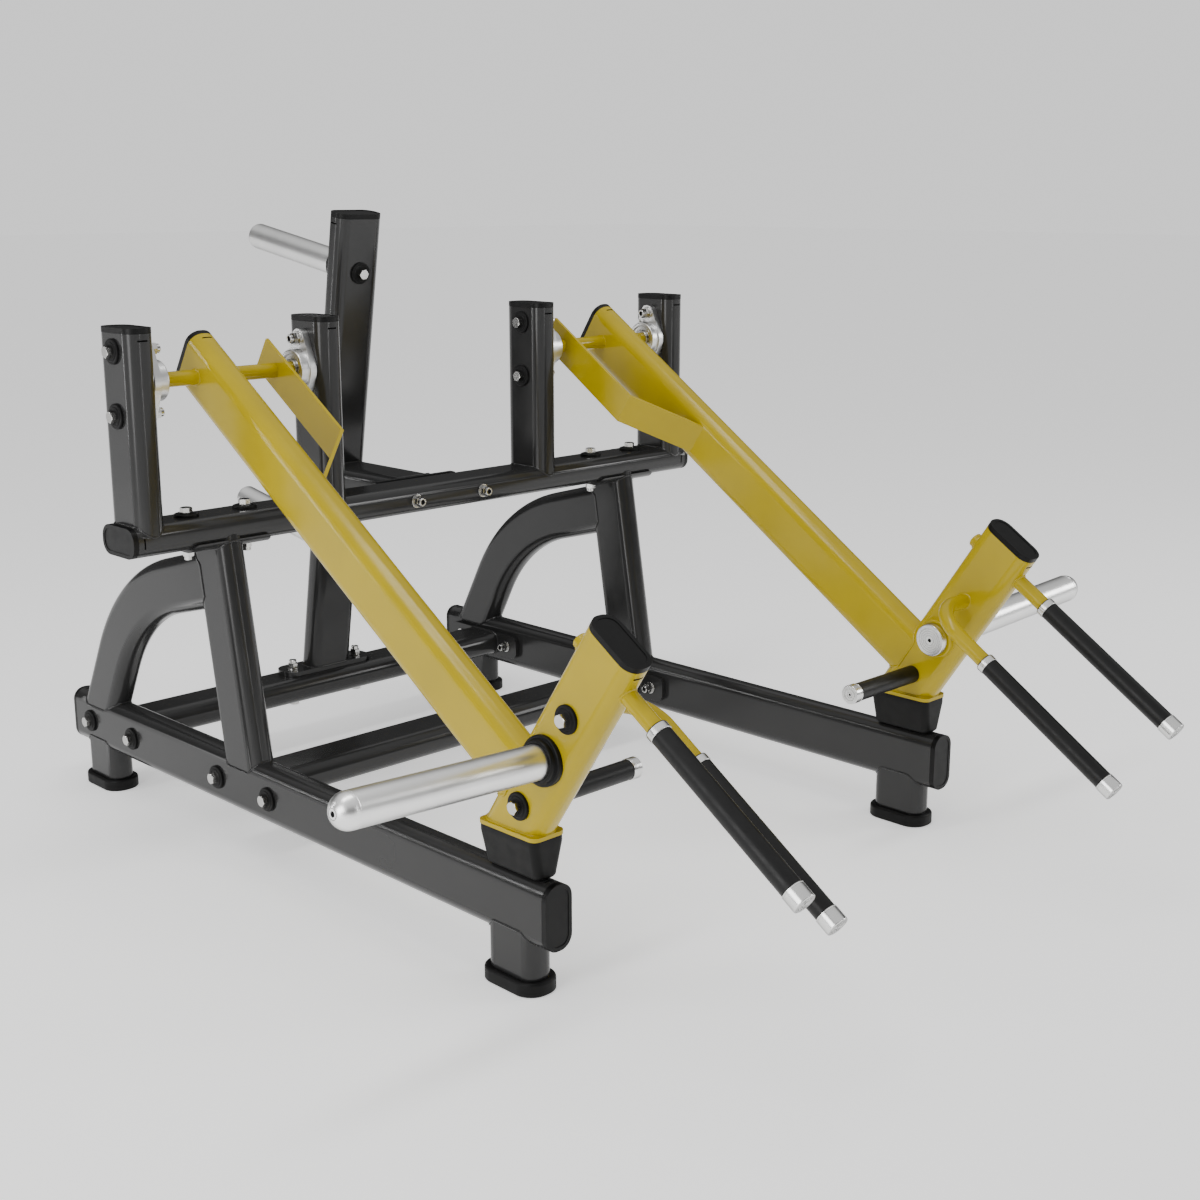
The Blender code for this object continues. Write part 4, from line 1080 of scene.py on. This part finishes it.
def rest_plate():
    centre = Vector((ARM_X, REST_PLATE_Y, REST_PLATE_Z + REST_PLATE[2] / 2))
    place = ARM_PLACE.inverted() @ Matrix.Translation(centre)
    return slab(rounded(REST_PLATE[0], REST_PLATE[1], 0.012), REST_PLATE[2], place, THIN_PLATE_EDGE)


def arm_weldment():
    """Arm tube, handle tube, rest plate, horn boss, straight bar and gusset as one shell, and its welds."""
    rear = arm_point(ARM_REAR_U + CAP, ARM_W)
    joint = arm_point(HANDLE_U, ARM_W)
    arm = tube(rear, joint, Z_AXIS, JOINED_THIN)
    top = arm_point(HANDLE_U, HANDLE_TOP_W - CAP)
    handle = tube(arm_point(HANDLE_U, -0.13), top, Y_AXIS)
    low = Vector((ARM_X - 0.1, REST_PLATE_Y - 0.2, REST_PLATE_Z - 0.3))
    high = Vector((ARM_X + 0.1, REST_PLATE_Y + 0.2, REST_PLATE_Z + REST_PLATE[2] / 2))
    under = moved(box(low, high), ARM_PLACE.inverted())
    plate = rest_plate()
    axis = horn_axis()
    boss_r, boss_end = HORN_BOSS
    boss_start = TUBE_THIN / 2 - 0.0015
    horn_way = axis.to_3x3() @ Z_AXIS
    inner_side = (ARM_X - TUBE_THIN / 2 - 0.05, 0, 0)
    welds = [
        weld(tube_outline(0, JOINED_THIN), arm_point(0.3, ARM_W), -Y_AXIS, Z_AXIS, handle, 0.8),
        weld(tube_outline(0.0004), arm_point(HANDLE_U, 0.1), -Z_AXIS, Y_AXIS, plate, 0.4),
        weld(circle(BAR_R), arm_point(STRAIGHT_REAR_U, STRAIGHT_W), -Y_AXIS, X_AXIS, handle, 0.05),
        weld(circle(BAR_R), arm_point(1.05, STRAIGHT_W), Y_AXIS, X_AXIS, handle, 0.12),
        weld(circle(boss_r), axis @ Vector((0, 0, -0.06)), horn_way, Y_AXIS, handle, 0.08),
        weld(circle(SHAFT_R), inner_side, X_AXIS, Y_AXIS, arm, 0.06),
        weld(circle(SHAFT_R), (ARM_X + 0.1, 0, 0), -X_AXIS, Y_AXIS, arm, 0.12),
    ]
    boss_profile = [(0, -boss_end)] + [(r, -z) for r, z in round_edge(boss_r, boss_end, 0.0018)]
    boss = turned(boss_profile + [(boss_r, -boss_start), (0, -boss_start)], axis)
    straight = rod(BAR_R, arm_point(STRAIGHT_REAR_U, STRAIGHT_W),
                   arm_point(STRAIGHT_GRIP[0] + 0.01, STRAIGHT_W), 0.003)
    shell = cut(unite(arm, handle), under)
    slots = [slot_cutter(rear, -Y_AXIS, Z_AXIS), slot_cutter(top, -Z_AXIS, -Y_AXIS)]
    shell = cut(unite(shell, plate, boss, straight, gusset()), *slots)
    arm_piece(shell, "lever_arm_shell", ARM_PAINT, "lever_arm")
    arm_piece(gather(welds), "lever_arm_welds", ARM_PAINT)


def pivot_shafts():
    """The shaft between two bearings, the rings that clamp it, and their set screws."""
    first = UPRIGHT_XS[0] + TUBE_THIN / 2
    last = UPRIGHT_XS[1] - TUBE_THIN / 2
    place = axes_at((first, 0, 0), X_AXIS, Y_AXIS)
    shaft = plug(SHAFT_R, SHAFT_SHORT, last - first - SHAFT_SHORT, place)
    arm_piece(shaft, "pivot_shaft_bar", ARM_PAINT, "pivot_shaft")
    ring = [(SHAFT_R, RING_DEPTH), (RING_R - 0.0025, RING_DEPTH)] + round_edge(RING_R, RING_DEPTH, 0.0010, 3)
    ring += [(RING_R, 0.010), (SHAFT_R, 0.010)]
    screw = below(0.0011, (0, 0.7), (1.1, 0.7), (1.1, 0), (2.1, 0), (2.1, 1.1), (0, 1.1))
    for name, x, out in (("inner", first, 1), ("outer", last, -1)):
        ring_place = axes_at((x, 0, 0), X_AXIS * out, Y_AXIS)
        arm_piece(turned(ring, ring_place, closed=True), f"bearing_ring_{name}", BEARING_STEEL)
        seat = on_side(ring_place, RING_SCREW_TURN, RING_R - 0.0009, RING_DEPTH - 0.0045)
        arm_piece(turned(screw, seat, sides=TINY_TURN), f"ring_set_screw_{name}", HOLE_SHADE_AND_SCREW_BLACK)


def arm_caps():
    rear = arm_point(ARM_REAR_U + CAP, ARM_W)
    cap = end_cap(rear, Y_AXIS, Z_AXIS, JOINED_THIN)
    arm_piece(cap, "arm_rear_cap_moulded", PLASTIC, "arm_rear_cap")
    top = arm_point(HANDLE_U, HANDLE_TOP_W - CAP)
    arm_piece(end_cap(top, Z_AXIS, Y_AXIS), "handle_tube_cap_moulded", PLASTIC, "handle_tube_cap")


def bumpers():
    """Tapered rubber block with a straight lip at the top and a soft foot."""
    low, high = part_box("bumper_right")
    height = high.z - low.z
    width, length = BUMPER_BASE
    corner = 0.012
    levels = []
    for change, z in round_edge(0, 0, 0.007, 6):
        levels.append((-z, rounded(width + 2 * change, length + 2 * change, corner + change / 2)))
    width, length = BUMPER_TOP
    for z, change in ((0.010, 0), (0.0008, 0), (0, -0.0008)):
        levels.append((height - z, rounded(width + 2 * change, length + 2 * change, corner + change)))
    place = ARM_PLACE.inverted() @ Matrix.Translation((ARM_X, REST_PLATE_Y, low.z))
    arm_piece(moved(loft(levels), place), "bumper_block", RUBBER, "bumper", sharp=50)


def plate_horns():
    """Satin sleeve with a domed, centre-drilled end, its collar, and the grooved disc behind."""
    axis = horn_axis()
    tip = HORN_END + SLEEVE_R
    profile = below(tip, (0, 7), (4, 7), (4, 1.4), (6.7, 1.4), (6.9, 3.2), (8, 3.2), (8.2, 1.5))
    dome = acos(0.0087 / SLEEVE_R)
    profile += arc((0, HORN_END), SLEEVE_R, dome, -dome, 18)
    profile += below(HORN_END, (24.5, 0.4), (24.5, 1.2), (25, 1.6))
    profile += [(SLEEVE_R, HORN_START + 0.001), (SLEEVE_R - 0.001, HORN_START),
                (HORN_SPINDLE_R, HORN_START), (HORN_SPINDLE_R, 0), (0, 0)]
    arm_piece(turned(profile, axis), "plate_horn_sleeve", CHROME, "plate_horn", sharp=24)
    low, shoulder, high = HORN_COLLAR
    bore = SLEEVE_R + 0.0001
    outer = COLLAR_R - 0.0008
    seat = HORN_START - 0.0002
    collar = [(bore, high - 0.0012), (bore + 0.0008, high)] + round_edge(0.031, high, 0.003)
    collar += [(0.0314, shoulder + 0.0008), (0.0322, shoulder)] + round_edge(outer, shoulder, 0.0026)
    collar += [(outer, low), (HORN_SPINDLE_R, low), (HORN_SPINDLE_R, seat), (bore, seat)]
    arm_piece(turned(collar, axis, closed=True), "plate_horn_collar_moulded", PLASTIC, "plate_horn_collar")
    # A near-black plug in the sleeve's centre hole: painted shade at the bottom of the hole.
    arm_piece(plug(0.004, tip - 0.0065, tip - 0.003, axis, SMALL_TURN), "plate_horn_bore_shade", HOLE_SHADE_AND_SCREW_BLACK)
    disc_r, near, far = HORN_DISC
    outline = below(far, (0, 4), (3.4, 4), (3.4, 0.4), (3.8, 0))
    for ring_r in (8.8, 12.8, 16.8, 20.8):
        outline += groove(far, ring_r)
    outline += round_edge(disc_r, far, 0.0014)
    outline += [(disc_r, near), (HORN_SPINDLE_R, near), (HORN_SPINDLE_R, 0), (0, 0)]
    backwards = axis @ Matrix.Rotation(pi, 4, "X")
    arm_piece(turned(outline, backwards, sides=FINEST_TURN), "retaining_disc", POLISHED, sharp=30)
    # A near-black plug in the disc's centre hole: painted shade at the bottom of the hole.
    arm_piece(plug(0.0034, far - 0.0038, far - 0.002, backwards, SMALL_TURN), "retaining_disc_bore_shade", HOLE_SHADE_AND_SCREW_BLACK)


def grip_set(name, place, span, ring_length, cap_length):
    """Stop ring, foam sleeve and turned end cap along the placement's +Z."""
    start, end = span
    foam_start = start + ring_length
    foam_end = end - cap_length
    seal_end = start + 0.0012
    rings = (("stop_ring", seal_end, foam_start, GRIP_CAP_R, POLISHED),
             ("ring_seal", start, seal_end, GRIP_CAP_R - 0.0006, RUBBER))
    for label, low, high, radius, look in rings if ring_length else ():
        edge = min(0.001, (high - low) / 2.2)
        rim = round_edge(radius, high, edge, 3)
        rim += [(radius, low + edge / 2), (radius - edge / 2, low), (BAR_R, low), (BAR_R, high)]
        arm_piece(turned(rim, place, closed=True), f"{name}_{label}", look)
    sleeve = round_edge(GRIP_R, foam_end - 0.0002, 0.0008, 3)
    sleeve += [(r, foam_start + foam_end - z) for r, z in reversed(sleeve)]
    sleeve = [(0, foam_end - 0.0002)] + sleeve + [(0, foam_start + 0.0002)]
    arm_piece(turned(sleeve, place), f"{name}_foam", FOAM, name)
    cap = below(end, (0, 5), (2.1, 5), (2.1, 0.5), (2.6, 0), (4.2, 0), (4.6, 0.7), (5.2, 0.7), (5.6, 0))
    cap += groove(end, 10) + round_edge(GRIP_CAP_R, end, 0.0016)
    cap += below(foam_end, (16.5, -3), (16.1, -2.6), (16.1, -1.8), (16.5, -1.4), (16.5, -0.6), (15.9, 0),
                 (0, 0))
    arm_piece(turned(cap, place), f"{name}_end_cap", POLISHED, sharp=24)
    # A near-black plug in the end cap's centre hole: painted shade at the bottom of the hole.
    arm_piece(plug(0.0021, end - 0.0048, end - 0.0018, place, SMALL_TURN), f"{name}_end_bore", HOLE_SHADE_AND_SCREW_BLACK)


def handles():
    straight = axes_at(arm_point(0, STRAIGHT_W), -Y_AXIS, X_AXIS)
    grip_set("straight_grip", straight, STRAIGHT_GRIP, GRIP_RING, GRIP_CAP)
    face_x = ARM_X - TUBE_THIN / 2 - GAP
    centre = (CURVED_X + CURVED_BEND, HANDLE_U + CURVED_BEND)
    bend = arc(centre, CURVED_BEND, -pi / 2, -pi / 2, 28)
    route = [(face_x, HANDLE_U)] + bend + [(CURVED_X, CURVED_GRIP[0] + 0.01)]
    points = [arm_point(u, CURVED_W, x) for x, u in route]
    arm_piece(wire(points, BAR_R, resolution=14), "curved_handle_bar", ARM_PAINT, "curved_handle")
    curved = axes_at(arm_point(0, CURVED_W, CURVED_X), -Y_AXIS, X_AXIS)
    grip_set("curved_grip", curved, CURVED_GRIP, GRIP_RING, GRIP_CAP)
    collar_place = axes_at(arm_point(HANDLE_U, CURVED_W, face_x + GAP), -X_AXIS, Y_AXIS)
    foot_r = BAR_R + HANDLE_FILLET
    fillet = arc((foot_r, HANDLE_FILLET), HANDLE_FILLET, pi, pi / 2, 5)
    rim = turned(fillet + [(foot_r, -0.001), (BAR_R - 0.001, -0.001)], collar_place, closed=True)
    arm_piece(rim, "curved_handle_weld", ARM_PAINT)
    sideways = axes_at(arm_point(HANDLE_U, PEG_W, face_x), -X_AXIS, Y_AXIS)
    arm_piece(rod(BAR_R - 0.001, (face_x, -HANDLE_U, PEG_W), (face_x - 0.02, -HANDLE_U, PEG_W)),
              "peg_bar", ARM_PAINT, "peg")
    grip_set("peg_grip", sideways, (0, face_x - PEG_TIP_X), 0, PEG_CAP)


def arm_fasteners():
    """Rubber-seated bolts on the outer face of each handle tube."""
    for side, body in ((1, "right_arm"), (-1, "left_arm")):
        place = (MIRROR if side < 0 else Matrix()) @ ARM_PLACE
        for w, turn in ((0.162, 0.3), (-0.015, 0.9)):
            spot = place @ arm_point(HANDLE_U, w, ARM_X + TUBE_THIN / 2)
            head_end(spot, X_AXIS * side, body, turn=turn)


def build_arms():
    arm_weldment()
    pivot_shafts()
    arm_caps()
    bumpers()
    plate_horns()
    handles()
    arm_fasteners()


# ------------ stage, light and camera

def area_light(name, place, target, size, power):
    data = bpy.data.lights.new(name, "AREA")
    data.shape = "RECTANGLE"
    data.size, data.size_y = size
    data.energy = power
    light = bpy.data.objects.new(name, data)
    light.matrix_world = axes_at(place, Vector(place) - Vector(target), X_AXIS)
    bpy.context.scene.collection.objects.link(light)


# Brightness of the light that the machine reflects, from straight below to straight above.
SKY = ((0.0, 0.60), (0.49, 0.50), (0.51, 0.07), (0.66, 0.06), (0.74, 0.22), (0.84, 0.75), (1.0, 0.80))
FLOOR_HALF = 40


def studio():
    """Pale floor just under the feet, a graded surround that the camera sees as white, and five lights."""
    mesh = bpy.data.meshes.new("floor")
    corners = [(x * FLOOR_HALF, y * FLOOR_HALF, 0) for x, y in ((-1, -1), (1, -1), (1, 1), (-1, 1))]
    mesh.from_pydata(corners, [], [(0, 1, 2, 3)])
    floor = new_object(mesh)
    floor.name = "studio_floor"
    floor.location.z = -0.0005
    glow = {"Emission_Color": (1, 1, 1, 1), "Emission_Strength": 0.5}
    pale = Finish("pale_floor", (0.93, 0.93, 0.93), 0.95, **glow)
    mesh.materials.append(pale.material)
    world = bpy.data.worlds.new("studio")
    bpy.context.scene.world = world
    world.use_nodes = True
    nodes = world.node_tree.nodes
    links = world.node_tree.links
    background = nodes["Background"]
    background.inputs["Strength"].default_value = 1.0
    split = nodes.new("ShaderNodeSeparateXYZ")
    height = add_node(nodes, "MapRange", From_Min=-1, From_Max=1)
    ramp = nodes.new("ShaderNodeValToRGB")
    elements = ramp.color_ramp.elements
    while len(elements) < len(SKY):
        elements.new(0.5)
    for element, (position, value) in zip(elements, SKY):
        element.position = position
        element.color = (value, value, value, 1)
    white = add_node(nodes, "Background", Color=(1, 1, 1, 1), Strength=1.03)
    choice = nodes.new("ShaderNodeMixShader")
    links.new(nodes.new("ShaderNodeTexCoord").outputs["Generated"], split.inputs["Vector"])
    links.new(split.outputs["Z"], height.inputs["Value"])
    links.new(height.outputs["Result"], ramp.inputs["Fac"])
    links.new(ramp.outputs["Color"], background.inputs["Color"])
    links.new(nodes.new("ShaderNodeLightPath").outputs["Is Camera Ray"], choice.inputs["Fac"])
    links.new(background.outputs["Background"], choice.inputs[1])
    links.new(white.outputs["Background"], choice.inputs[2])
    links.new(choice.outputs["Shader"], nodes["World Output"].inputs["Surface"])
    area_light("left_softbox", (-3.8, -0.9, 1.4), (0, 0, 0.55), (2.4, 1.8), 72)
    area_light("top_strip", (-0.6, -0.3, 3.2), (0, 0, 0.4), (3.0, 0.5), 34)
    area_light("right_softbox", (3.4, -2.6, 1.7), (0, 0, 0.55), (1.6, 1.2), 48)
    area_light("front_strip", (0.5, -3.8, 1.3), (0, 0, 0.6), (0.14, 2.4), 11)
    area_light("rear_strip", (-3.2, 2.6, 1.4), (0, 0, 0.6), (0.16, 2.4), 22)


def camera():
    data = bpy.data.cameras.new("camera")
    data.lens = 50.107
    data.sensor_width = 36
    obj = bpy.data.objects.new("camera", data)
    right = Vector((0.7128, -0.7014, 0)).normalized()
    back = Vector((-0.6813, -0.6924, 0.2379)).normalized()
    place = Matrix((right, back.cross(right), back)).transposed().to_4x4()
    place.translation = (-1.9375, -2.0976, 1.1108)
    obj.matrix_world = place
    data.clip_end = 120
    bpy.context.scene.collection.objects.link(obj)
    bpy.context.scene.camera = obj


build_frame()
build_arms()
for template in FASTENERS.values():
    discard(template)
studio()
camera()
